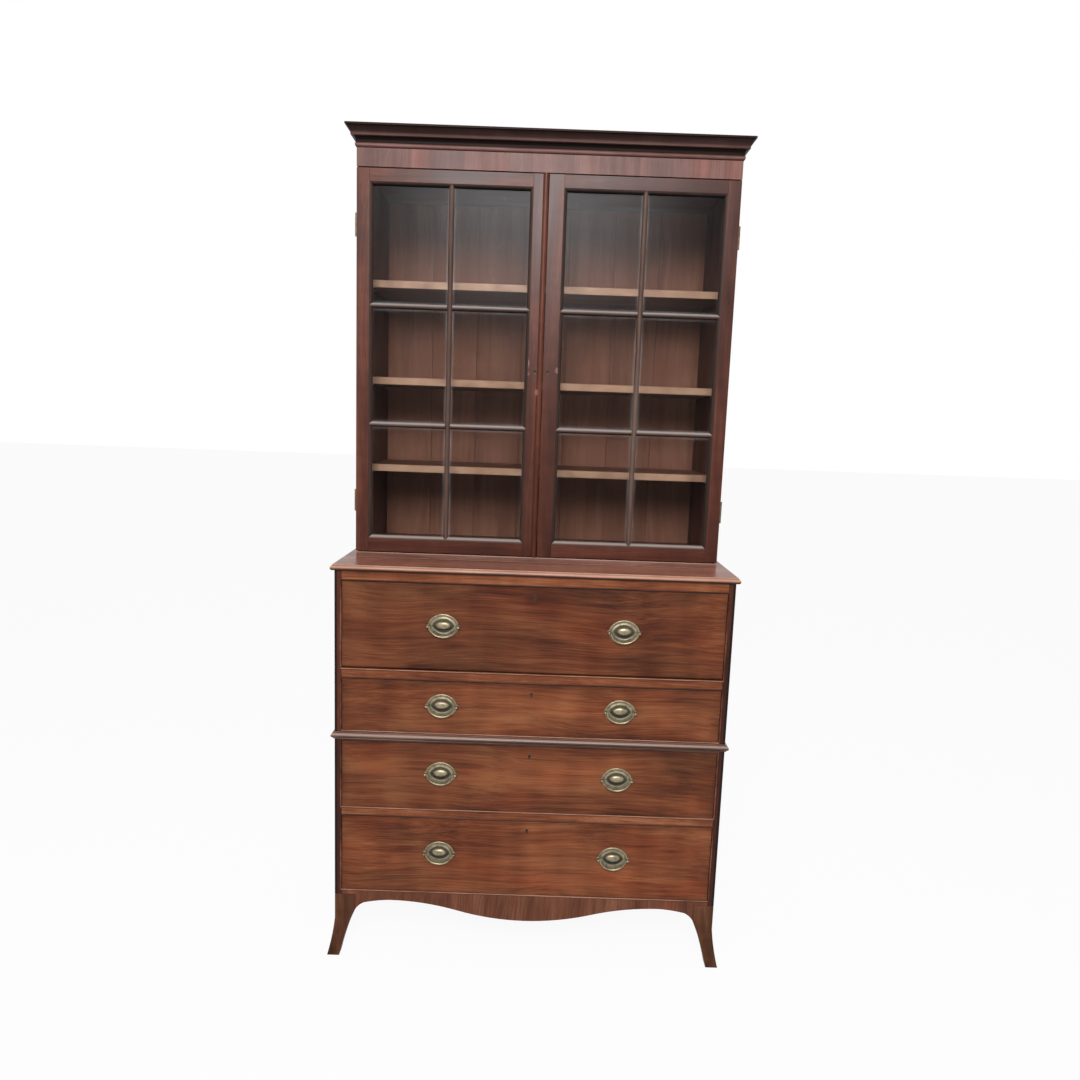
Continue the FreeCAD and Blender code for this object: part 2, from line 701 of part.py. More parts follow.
def bookcase():
    sides = []
    for word, side in SIDES:
        plain = board(f"bookcase_{word}_plain", spread(side, BOOK_INSIDE, BOOK_HALF), (CASE_FRONT, BACK),
                      (DESK, CORNICE_FOOT))
        recesses = [leaf_recess(f"{word}_{hinge}_case_recess", side, z, f"{CASE_FRONT} - overrun",
                                f"{CASE_FRONT} + leaf_thickness") for hinge, z in HINGES]
        sides.append(cut(f"bookcase_{word}_side", plain, *pegs(f"{word}_peg_hole", side), *recesses))
    finish("bookcase_sides", *sides)
    inner = (f"-{BOOK_INSIDE}", BOOK_INSIDE)
    finish("bookcase_bottom_board", board("bookcase_bottom", inner, (CASE_FRONT, PANEL_FRONT),
                                          (DESK, f"{DESK} + bookcase_board")))
    finish("bookcase_top_board", board("bookcase_top", inner, (CASE_FRONT, PANEL_FRONT),
                                       (BOOK_TOP, f"{BOOK_TOP} + bookcase_board")))
    pitch = f"((2 * {BOOK_INSIDE} + back_board_gap) / back_board_count)"
    back_boards = []
    for number in range(1, int(SIZES["back_board_count"]) + 1):
        edge = f"-{BOOK_INSIDE} + {number} * {pitch} - back_board_gap"
        back_boards.append(board(f"back_board_{number}", (f"-{BOOK_INSIDE} + {number - 1} * {pitch}", edge),
                                 (PANEL_FRONT, BACK), (DESK, CORNICE_FOOT)))
    finish("bookcase_back_boards", *back_boards)
    shelf_x = (f"-{BOOK_INSIDE} + shelf_end_gap", f"{BOOK_INSIDE} - shelf_end_gap")
    finish("adjustable_shelves",
           *[board(shelf + "_shelf", shelf_x, (SHELF_FRONT, SHELF_BACK), (height, f"{height} + shelf_thickness"))
             for shelf, height in SHELVES])
    finish("shelf_pegs", *[one for word, side in SIDES for one in pegs(word + "_peg", side)])
    outer = (f"-{BOOK_HALF}", BOOK_HALF)
    finish("bookcase_foot_moulding", board("foot_strip", outer, (DOOR_FACE, CASE_FRONT),
                                           (DESK, f"{DESK} + foot_strip_height")))
    finish("frieze", board("frieze_board", outer, (DOOR_FACE, CASE_FRONT), (BOOK_TOP, CORNICE_FOOT)))
    moulding("cornice_moulding", CORNICE_SHARES, "cornice_reach", "cornice_height", "cornice_backing",
             BOOK_HALF, DOOR_FACE, CORNICE_FOOT)
    inside = f"{BOOK_HALF} - cornice_backing"
    finish("cornice_dust_board", board("dust_board", (f"-({inside})", inside),
                                       (f"{DOOR_FACE} + cornice_backing", BACK),
                                       (CORNICE_FOOT, f"{CORNICE_FOOT} + dust_board")))
    finish("door_hinge_fixed_leaves", *[fixed_leaf(f"{word}_{hinge}_fixed_leaf", side, z)
                                        for word, side in SIDES for hinge, z in HINGES])


# Doors

GLASS_FOOT = f"({DOOR_FOOT} + bottom_door_rail)"
GLASS_TOP = f"({DOOR_TOP} - top_door_rail)"
GLASS_NEAR = "(meeting_gap / 2 + meeting_stile)"
GLASS_FAR = f"({BOOK_HALF} - outer_stile)"
BAR_X = f"(({GLASS_NEAR} + {GLASS_FAR}) / 2)"
BAR_BACK = f"({DOOR_FACE} + bar_setback + bar_depth)"
FIN_BACK = f"({BAR_BACK} + fin_depth)"
PANE_ROWS = int(SIZES["pane_rows"])
BAR_HEIGHTS = [f"({GLASS_FOOT} + ({GLASS_TOP} - {GLASS_FOOT}) * {number} / pane_rows)"
               for number in range(1, PANE_ROWS)]


def bar_profile():
    """Half-width outwards and depth of a glazing bar: a rounded moulding with a fin behind it."""
    edge = f"bar_depth * {BAR_EDGE_SHARE}"
    return [
        ("-bar_width / 2", "bar_depth"),
        ("-bar_width / 2", edge),
        ("bar_width / 2", edge, "0", "0"),
        ("bar_width / 2", "bar_depth"),
        ("fin_width / 2", "bar_depth"),
        ("fin_width / 2", "bar_depth + fin_depth"),
        ("-fin_width / 2", "bar_depth + fin_depth"),
        ("-fin_width / 2", "bar_depth"),
    ]


def glazing_bars(word, side):
    upright = prism(word + "_upright_bar", "XY_Plane", bar_profile(), f"{GLASS_TOP} - {GLASS_FOOT}",
                    (f"{side} * {BAR_X}", f"{DOOR_FACE} + bar_setback", GLASS_FOOT))
    bars = [upright]
    lying = [(corner[1], corner[0]) + ((corner[3], corner[2]) if len(corner) == 4 else ())
             for corner in bar_profile()]
    for number, height in enumerate(BAR_HEIGHTS, 1):
        for end, near, far in (("near", GLASS_NEAR, f"{BAR_X} - bar_width / 2"),
                               ("far", f"{BAR_X} + bar_width / 2", GLASS_FAR)):
            x = spread(side, near, far)
            bars.append(prism(f"{word}_{end}_bar_{number}", "YZ_Plane", lying, f"({x[1]}) - ({x[0]})",
                              (x[0], f"{DOOR_FACE} + bar_setback", height)))
    finish(word + "_door_glazing_bars", *bars)


def glass(word, side):
    panes = []
    levels = [GLASS_FOOT] + BAR_HEIGHTS + [GLASS_TOP]
    for row in range(PANE_ROWS):
        low = levels[row] + (" + fin_width / 2" if row > 0 else "")
        high = levels[row + 1] + (" - fin_width / 2" if row + 1 < PANE_ROWS else "")
        for end, near, far in (("near", GLASS_NEAR, f"{BAR_X} - fin_width / 2"),
                               ("far", f"{BAR_X} + fin_width / 2", GLASS_FAR)):
            panes.append(board(f"{word}_{end}_pane_{row + 1}", spread(side, near, far),
                               (BAR_BACK, f"{BAR_BACK} + glass_thickness"), (low, high)))
    finish(word + "_door_glass", *panes)


def keyhole(name, x, y_low, y_high, z):
    """A round hole with a slot below it, as a cutting tool."""
    hole = rod(name + "_round", "key_radius", f"({y_high}) - ({y_low})", (x, y_low, z), "Y")
    slot = board(name + "_slot", (f"{x} - key_slot_width / 2", f"{x} + key_slot_width / 2"), (y_low, y_high),
                 (f"{z} - key_slot_length", z))
    return fuse(name, hole, slot)


def door(word, side):
    thick = (DOOR_FACE, DOOR_BACK)
    tall = (DOOR_FOOT, DOOR_TOP)
    recesses = [leaf_recess(f"{word}_{hinge}_door_recess", side, z, f"{DOOR_BACK} - leaf_thickness",
                            f"{DOOR_BACK} + overrun") for hinge, z in HINGES]
    hinge_stile = cut(word + "_hinge_stile",
                      board(word + "_outer_stile", spread(side, GLASS_FAR, BOOK_HALF), thick, tall), *recesses)
    key_x = f"({side} * (meeting_gap / 2 + {word}_door_backset))"
    lock_z = ("door_keyhole_height - door_lock_height / 2", "door_keyhole_height + door_lock_height / 2")
    lock_x = (f"{key_x} - door_lock_width / 2", f"{key_x} + door_lock_width / 2")
    lock_y = (f"{DOOR_BACK} - lock_depth", DOOR_BACK)
    lock_seat = board(word + "_door_lock_seat", lock_x, (lock_y[0], f"{DOOR_BACK} + overrun"), lock_z)
    key = keyhole(word + "_door_keyhole", key_x, f"{DOOR_FACE} - overrun - meeting_bead_reach", lock_y[0],
                  "door_keyhole_height")
    lock_stile = cut(word + "_lock_stile",
                     board(word + "_meeting_stile", spread(side, "meeting_gap / 2", GLASS_NEAR), thick, tall),
                     lock_seat, key)
    between = spread(side, GLASS_NEAR, GLASS_FAR)
    rails = [board(word + "_bottom_door_rail", between, thick, (DOOR_FOOT, GLASS_FOOT)),
             board(word + "_top_door_rail", between, thick, (GLASS_TOP, DOOR_TOP))]
    frame = [hinge_stile, lock_stile] + rails
    if side < 0:
        frame.append(prism("meeting_bead", "XY_Plane",
                           [("-meeting_bead_width", "0"),
                            ("0", "0", "-meeting_bead_width / 2", "-meeting_bead_reach")],
                           "door_height", ("-meeting_gap / 2", DOOR_FACE, DOOR_FOOT)))
    finish(word + "_door_frame", *frame)
    glazing_bars(word, side)
    glass(word, side)
    finish(word + "_door_brass", board(word + "_door_lock", lock_x, lock_y, lock_z),
           *[moving_leaf(f"{word}_{hinge}_door_leaf", side, z) for hinge, z in HINGES])


# Brass handles, the same on every drawer

def oval(name, width, height, depth, x, y, z):
    """An oval disc standing on a front face, from y towards the viewer."""
    ring = doc.addObject("Part::Ellipse", name + "_line")
    bind(ring, "MajorRadius", f"({width}) / 2")
    bind(ring, "MinorRadius", f"({height}) / 2")
    turn(ring, (1, 0, 0), 90)
    place(ring, x, y, z)
    disc = doc.addObject("Part::Extrusion", name)
    disc.Base = ring
    disc.DirMode = "Custom"
    disc.Dir = FreeCAD.Vector(0, -1, 0)
    disc.Solid = True
    bind(disc, "LengthFwd", depth)
    return disc


def back_plate(name, x, z):
    """A stamped oval plate with a raised ring, a domed boss and two posts bored for the bail."""
    face = f"({FRONT} - plate_thickness)"
    plate = oval(name + "_plate", "plate_width", "plate_height", "plate_thickness", x, FRONT, z)
    ring = cut(name + "_ring", oval(name + "_ring_outer", "ring_width", "ring_height", "ring_rise", x, face, z),
               oval(name + "_ring_inner", "ring_width - 2 * ring_band", "ring_height - 2 * ring_band",
                    "ring_rise", x, face, z))
    boss = doc.addObject("Part::Ellipsoid", name + "_boss")
    bind(boss, "Radius1", "boss_rise")
    bind(boss, "Radius2", "boss_width / 2")
    bind(boss, "Radius3", "boss_height / 2")
    bind(boss, "Angle1", "0")
    turn(boss, (1, 0, 0), 90)
    place(boss, x, face, z)
    solids = [plate, ring, boss]
    for word, side in SIDES:
        solids.append(rod(f"{name}_{word}_post", "post_radius", "plate_thickness + post_length",
                          (f"{x} + {side} * post_spread / 2", FRONT, z), "-Y"))
    bores = []
    for word, side in SIDES:
        reach = "bail_half_width + bail_pin_length + bail_pin_end_gap"
        start = f"{x} + bail_half_width" if side > 0 else f"{x} - ({reach})"
        bores.append(rod(f"{name}_{word}_bore", "bail_pin_radius + running_clearance",
                         "bail_pin_length + bail_pin_end_gap", (start, f"{face} - bail_offset", z), "X"))
    return cut(name, fuse(name + "_solid", *solids), *bores)


def bail(name, x, z):
    """The hanging half-oval grip with a pin at each end."""
    y = f"({FRONT} - plate_thickness - bail_offset)"
    line = doc.addObject("Part::Ellipse", name + "_line")
    bind(line, "MajorRadius", "bail_half_width")
    bind(line, "MinorRadius", "bail_drop")
    line.Angle1 = 180
    line.Angle2 = 360
    turn(line, (1, 0, 0), 90)
    place(line, x, y, z)
    wire = doc.addObject("Part::Circle", name + "_section")
    bind(wire, "Radius", "bail_radius")
    place(wire, f"{x} - bail_half_width", y, z)
    grip = doc.addObject("Part::Sweep", name + "_grip")
    grip.Sections = [wire]
    grip.Spine = (line, ["Edge1"])
    grip.Solid = True
    grip.Frenet = False
    solids = [grip]
    for word, side in SIDES:
        ball = doc.addObject("Part::Sphere", f"{name}_{word}_ball")
        bind(ball, "Radius", "bail_radius")
        place(ball, f"{x} + {side} * bail_half_width", y, z)
        start = f"{x} + bail_half_width" if side > 0 else f"{x} - bail_half_width - bail_pin_length"
        solids += [ball, rod(f"{name}_{word}_pin", "bail_pin_radius", "bail_pin_length", (start, y, z), "X")]
    return fuse(name, *solids)


def drawer_brass(label, z_high, back, middle, *others):
    """Two back plates and the lock of one drawer, and its two bails."""
    plates = [back_plate(f"{label}_{word}_plate", f"({side} * handle_spread)", middle) for word, side in SIDES]
    lock = lock_block(label + "_lock", z_high, back)
    finish(label + "_brass", *plates, lock, *others)
    for word, side in SIDES:
        finish(f"{label}_{word}_bail", bail(f"{label}_{word}_bail", f"({side} * handle_spread)", middle))


def lock_block(name, z_high, back, past="0"):
    """A lock let into the back of a board and flush with it, or its recess, which runs past the back."""
    return board(name, ("-lock_width / 2", "lock_width / 2"), (f"{back} - lock_depth", f"{back} + {past}"),
                 (f"{z_high} - key_drop - lock_height / 2", f"{z_high} - key_drop + lock_height / 2"))


# Long drawers

BOX_FRONT = f"({FRONT} + front_thickness)"
BOX_BACK = f"({PANEL_FRONT} - drawer_stop)"
BOX_HALF = f"({INSIDE} - drawer_side_gap)"


def long_drawer(label, low, high):
    """One full-width drawer between its opening's low and high edges."""
    face_low, face_high = f"({low} + drawer_gap)", f"({high} - drawer_gap)"
    plain = board(label + "_front_board", (f"-{BOX_HALF}", BOX_HALF), (FRONT, BOX_FRONT), (face_low, face_high))
    key_z = f"({face_high} - key_drop)"
    front = cut(label + "_front", plain, lock_block(label + "_lock_seat", face_high, BOX_FRONT, "overrun"),
                keyhole(label + "_keyhole", "0", f"{FRONT} - overrun", f"{BOX_FRONT} - lock_depth", key_z))
    finish(label + "_front", front)
    foot_z, head_z = f"({low} + runner_clearance)", f"({face_high} - drawer_top_drop)"
    walls = [board(f"{label}_{word}_wall", spread(side, f"{BOX_HALF} - drawer_side", BOX_HALF),
                   (BOX_FRONT, BOX_BACK), (foot_z, head_z)) for word, side in SIDES]
    across = (f"-({BOX_HALF} - drawer_side)", f"{BOX_HALF} - drawer_side")
    base_z = f"({foot_z} + drawer_bottom_lift)"
    walls.append(board(label + "_rear_wall", across, (f"{BOX_BACK} - drawer_back", BOX_BACK),
                       (f"{base_z} + drawer_bottom", head_z)))
    walls.append(board(label + "_bottom", across, (BOX_FRONT, BOX_BACK), (base_z, f"{base_z} + drawer_bottom")))
    finish(label + "_box", *walls)
    drawer_brass(label, face_high, BOX_FRONT, f"(({low} + {high}) / 2 + {label}_handle_lift)")


# Secretaire drawer

FALL_LOW = f"({FALL_FLOOR} + drawer_gap)"
FALL_HIGH = f"({FALL_TOP} - drawer_gap)"
FALL_BACK = f"({FRONT} + fall_thickness)"
PIVOT_Y = f"({FRONT} + fall_thickness / 2)"
PIVOT_Z = f"({FALL_LOW} + fall_thickness / 2)"
TRAY_FRONT = f"({FALL_BACK} + fall_clearance)"
TRAY_INSIDE = f"({BOX_HALF} - drawer_side)"
WRITING_TOP = f"({FALL_LOW} + fall_thickness)"
INTERIOR_BACK = f"({BOX_BACK} - drawer_back)"
INTERIOR_FRONT = f"({INTERIOR_BACK} - interior_depth)"
SLOT_WIDTH = "(arm_thickness + stay_side_gap + mortise_clearance)"


def tray():
    """Sides, back and writing base, with a slot each side of the base for the stays."""
    foot_z = f"({FALL_FLOOR} + runner_clearance)"
    walls = [board(f"tray_{word}_wall", spread(side, TRAY_INSIDE, BOX_HALF), (TRAY_FRONT, BOX_BACK),
                   (foot_z, FALL_HIGH)) for word, side in SIDES]
    across = (f"-{TRAY_INSIDE}", TRAY_INSIDE)
    walls.append(board("tray_rear_wall", across, (INTERIOR_BACK, BOX_BACK), (WRITING_TOP, FALL_HIGH)))
    plain = board("tray_plain_base", across, (TRAY_FRONT, BOX_BACK),
                  (f"{WRITING_TOP} - writing_base", WRITING_TOP))
    slots = []
    for word, side in SIDES:
        slot_x = spread(side, f"{TRAY_INSIDE} - {SLOT_WIDTH}", f"{TRAY_INSIDE} + overrun")
        slots.append(board(f"tray_{word}_slot", slot_x,
                           (f"{TRAY_FRONT} - overrun", f"{PIVOT_Y} + stay_radius + overrun"),
                           (f"{WRITING_TOP} - writing_base - overrun", f"{WRITING_TOP} + overrun")))
    walls.append(cut("tray_base", plain, *slots))
    finish("secretaire_tray", *walls)


def pivot_arms():
    """Brass arms on the tray walls that carry the pivot of the fall."""
    arms = []
    for word, side in SIDES:
        x = spread(side, f"{TRAY_INSIDE} - arm_thickness", TRAY_INSIDE)
        eye = rod(f"{word}_arm_eye", "arm_radius", "arm_thickness", (x[0], PIVOT_Y, PIVOT_Z), "X")
        bar = board(f"{word}_arm_bar", x, (PIVOT_Y, f"{PIVOT_Y} + arm_length"),
                    (f"{PIVOT_Z} - arm_radius", f"{PIVOT_Z} + arm_radius"))
        bore = rod(f"{word}_arm_bore", "pivot_radius + running_clearance", "arm_thickness + 2 * overrun",
                   (f"{x[0]} - overrun", PIVOT_Y, PIVOT_Z), "X")
        arms.append(cut(word + "_arm", fuse(word + "_arm_solid", eye, bar), bore))
    finish("fall_pivot_arms", *arms)


def pigeonholes():
    """Ends, shelf, top and dividers of the fitted interior. Small drawers run below the shelf."""
    deep = (INTERIOR_FRONT, INTERIOR_BACK)
    shelf_z = f"({WRITING_TOP} + small_front_height)"
    top_z = f"({WRITING_TOP} + interior_height)"
    inner = f"({TRAY_INSIDE} - interior_board)"
    solids = [board(f"interior_{word}_end", spread(side, inner, TRAY_INSIDE), deep, (WRITING_TOP, top_z))
              for word, side in SIDES]
    across = (f"-{inner}", inner)
    solids.append(board("interior_shelf", across, deep, (shelf_z, f"{shelf_z} + interior_board")))
    solids.append(board("interior_top", across, deep, (f"{top_z} - interior_board", top_z)))
    for number in range(1, int(SIZES["small_drawer_count"])):
        middle = f"(-{inner} + 2 * {inner} * {number} / small_drawer_count)"
        solids.append(board(f"drawer_divider_{number}",
                            (f"{middle} - interior_board / 2", f"{middle} + interior_board / 2"), deep,
                            (WRITING_TOP, shelf_z)))
    for number in range(1, int(SIZES["hole_count"])):
        middle = f"(-{inner} + 2 * {inner} * {number} / hole_count)"
        solids.append(board(f"hole_divider_{number}", (f"{middle} - divider / 2", f"{middle} + divider / 2"),
                            deep, (f"{shelf_z} + interior_board", f"{top_z} - interior_board")))
    finish("pigeonhole_unit", *solids)


def small_drawer(number):
    """One of the row of small drawers, with its turned knob."""
    name = f"small_drawer_{number}"
    inner = f"({TRAY_INSIDE} - interior_board)"
    low_edge = "0" if number == 1 else "interior_board / 2"
    high_edge = "0" if number == int(SIZES["small_drawer_count"]) else "interior_board / 2"
    x_low = f"(-{inner} + 2 * {inner} * {number - 1} / small_drawer_count + {low_edge} + small_gap)"
    x_high = f"(-{inner} + 2 * {inner} * {number} / small_drawer_count - {high_edge} - small_gap)"
    low = f"({WRITING_TOP} + runner_clearance)"
    high = f"({WRITING_TOP} + small_front_height - small_gap)"
    body_front = f"({INTERIOR_FRONT} + small_front)"
    body_back = f"({INTERIOR_BACK} - small_gap)"
    inside = (f"{x_low} + small_wall", f"{x_high} - small_wall")
    base_z = f"({low} + small_bottom)"
    knob_x, knob_z = f"(({x_low} + {x_high}) / 2)", f"(({low} + {high}) / 2)"
    half_flat = f"knob_radius * {KNOB_FLAT_SHARE}"
    neck = rod(name + "_neck", "knob_neck_radius", f"knob_neck + {half_flat}",
               (knob_x, INTERIOR_FRONT, knob_z), "-Y")
    ball = doc.addObject("Part::Ellipsoid", name + "_ball")
    bind(ball, "Radius1", half_flat)
    bind(ball, "Radius2", "knob_radius")
    bind(ball, "Radius3", "knob_radius")
    turn(ball, (1, 0, 0), 90)
    place(ball, knob_x, f"{INTERIOR_FRONT} - knob_neck - {half_flat}", knob_z)
    wall_top = f"{high} - small_bottom"
    finish(name,
           board(name + "_front", (x_low, x_high), (INTERIOR_FRONT, body_front), (low, high)),
           board(name + "_left_wall", (x_low, inside[0]), (body_front, body_back), (low, wall_top)),
           board(name + "_right_wall", (inside[1], x_high), (body_front, body_back), (low, wall_top)),
           board(name + "_rear_wall", inside, (f"{body_back} - small_wall", body_back), (base_z, wall_top)),
           board(name + "_bottom", inside, (body_front, body_back), (low, base_z)),
           fuse(name + "_knob", neck, ball))


def stay(name, side):
    """A brass quadrant centred on the pivot. It passes down its slot as the fall closes."""
    outer = f"{TRAY_INSIDE} - stay_side_gap"
    x_low, x_high = spread(side, f"{outer} - stay_thickness", outer)
    sector = doc.addObject("Part::Cylinder", name + "_sector")
    bind(sector, "Radius", "stay_radius")
    bind(sector, "Height", "stay_thickness")
    bind(sector, "Angle", "90 + stay_overlap_degrees")
    # The sector stands on end: it starts upright and sweeps back and down.
    turn(sector, (0, 1, 0), -90)
    place(sector, x_high, PIVOT_Y, PIVOT_Z)
    core = rod(name + "_core", "stay_radius - stay_width", "stay_thickness", (x_low, PIVOT_Y, PIVOT_Z), "X")
    behind = board(name + "_fall_side", (x_low, x_high), (f"{PIVOT_Y} - overrun", FALL_BACK),
                   (PIVOT_Z, f"{PIVOT_Z} + stay_radius + overrun"))
    return cut(name, sector, core, behind)


def fall():
    """The fall front, round along its lower edge about the pivot, with its leather and brass."""
    radius = "fall_thickness / 2"
    height = f"({FALL_HIGH} - {FALL_LOW})"
    blank = prism("fall_blank", "YZ_Plane",
                  [("0", height), ("0", radius), ("fall_thickness", radius, radius, "0"),
                   ("fall_thickness", height)], f"2 * {BOX_HALF}", (f"-{BOX_HALF}", FRONT, FALL_LOW))
    tools = []
    pins = []
    for word, side in SIDES:
        x = spread(side, f"{TRAY_INSIDE} - arm_thickness - mortise_clearance",
                   f"{TRAY_INSIDE} + mortise_clearance")
        play = "(arm_radius + mortise_clearance)"
        tools.append(board(f"fall_{word}_mortise", x, (f"{PIVOT_Y} - {play}", f"{FALL_BACK} + overrun"),
                           (f"{FALL_LOW} - overrun", f"{PIVOT_Z} + {play}")))
        start = (f"{x[0]} - pivot_grip", PIVOT_Y, PIVOT_Z)
        length = f"({x[1]}) - ({x[0]}) + 2 * pivot_grip"
        tools.append(rod(f"fall_{word}_pin_seat", "pivot_radius", length, start, "X"))
        pins.append(rod(f"fall_{word}_pin", "pivot_radius", length, start, "X"))
    panel_x = (f"-({BOX_HALF} - panel_side_margin)", f"{BOX_HALF} - panel_side_margin")
    panel_z = (f"{PIVOT_Z} + panel_end_margin", f"{FALL_HIGH} - panel_lock_margin")
    tools.append(board("panel_recess", panel_x, (f"{FALL_BACK} - panel_thickness", f"{FALL_BACK} + overrun"),
                       panel_z))
    tools.append(lock_block("fall_lock_seat", FALL_HIGH, FALL_BACK, "overrun"))
    tools.append(keyhole("fall_keyhole", "0", f"{FRONT} - overrun", f"{FALL_BACK} - lock_depth",
                         f"({FALL_HIGH} - key_drop)"))
    finish("fall_front", cut("fall_front", blank, *tools))
    finish("writing_panel", board("writing_leather", panel_x,
                                  (f"{FALL_BACK} - panel_thickness", FALL_BACK), panel_z))
    drawer_brass("fall", FALL_HIGH, FALL_BACK, f"(({FALL_FLOOR} + {FALL_TOP}) / 2 + fall_handle_lift)",
                 *pins, *[stay(word + "_stay", side) for word, side in SIDES])


base()
carcases()
moulding("waist_moulding", WAIST_SHARES, "waist_reach", "waist_height", "0", HALF, FRONT,
         f"({JOINT} - waist_drop)")
desk_top()
bookcase()
for door_word, door_side in SIDES:
    door(door_word, door_side)
tray()
pivot_arms()
pigeonholes()
for small_number in range(1, int(SIZES["small_drawer_count"]) + 1):
    small_drawer(small_number)
fall()
long_drawer("upper_drawer", UPPER_FLOOR, UPPER_TOP)
long_drawer("middle_drawer", MIDDLE_FLOOR, MIDDLE_TOP)
long_drawer("lower_drawer", CASE_FLOOR, LOWER_TOP)

doc.recompute()

faults = [item.Label for item in doc.Objects if {"Invalid", "Error"} & set(item.State)]
faults += [item.Label for item in parts if item.Shape.isNull() or not item.Shape.isValid()]
if faults:
    raise RuntimeError("these failed: " + ", ".join(faults))

os.makedirs("parts", exist_ok=True)
for item in parts:
    item.Shape.exportStep(f"parts/{item.Label}.step")
print(len(parts), "sub-parts,", sum(len(item.Shape.Solids) for item in parts), "solids")
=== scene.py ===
"""Looks of the secretaire bookcase: mahogany, aged brass, old glass and leather, in metres."""
import json
import math
import random

import bmesh
import bpy
from mathutils import Matrix, Vector

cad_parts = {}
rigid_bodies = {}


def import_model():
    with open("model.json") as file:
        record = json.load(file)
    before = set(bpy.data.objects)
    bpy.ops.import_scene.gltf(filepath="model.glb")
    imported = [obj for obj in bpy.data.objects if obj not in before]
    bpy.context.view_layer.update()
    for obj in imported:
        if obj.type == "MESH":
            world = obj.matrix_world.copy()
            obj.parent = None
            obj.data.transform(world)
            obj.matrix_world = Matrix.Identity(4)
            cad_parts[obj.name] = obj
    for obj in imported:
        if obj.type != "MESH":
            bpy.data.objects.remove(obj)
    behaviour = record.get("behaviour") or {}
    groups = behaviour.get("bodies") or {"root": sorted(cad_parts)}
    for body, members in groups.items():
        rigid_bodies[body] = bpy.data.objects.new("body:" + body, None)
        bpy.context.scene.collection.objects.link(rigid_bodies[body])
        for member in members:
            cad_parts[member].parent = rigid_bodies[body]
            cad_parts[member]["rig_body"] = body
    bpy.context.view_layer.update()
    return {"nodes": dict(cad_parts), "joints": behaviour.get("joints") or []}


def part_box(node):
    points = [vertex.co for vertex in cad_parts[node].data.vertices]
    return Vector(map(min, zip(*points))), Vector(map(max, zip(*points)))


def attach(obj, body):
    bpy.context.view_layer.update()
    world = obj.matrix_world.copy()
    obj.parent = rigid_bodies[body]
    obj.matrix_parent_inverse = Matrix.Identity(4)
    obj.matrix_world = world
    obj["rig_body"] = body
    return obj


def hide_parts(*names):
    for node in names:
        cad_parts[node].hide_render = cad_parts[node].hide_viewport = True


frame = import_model()

MM = 0.001
SQUARE_ANGLE = math.radians(28)
SMOOTH_ANGLE = math.radians(41)
WHITE = (1.0, 1.0, 1.0, 1.0)


def srgb(red, green, blue):
    """A colour given as 0 to 255 in sRGB, as linear values with alpha."""
    def linear(value):
        value /= 255
        return value / 12.92 if value <= 0.04045 else ((value + 0.055) / 1.055) ** 2.4
    return (linear(red), linear(green), linear(blue), 1.0)


# Node trees

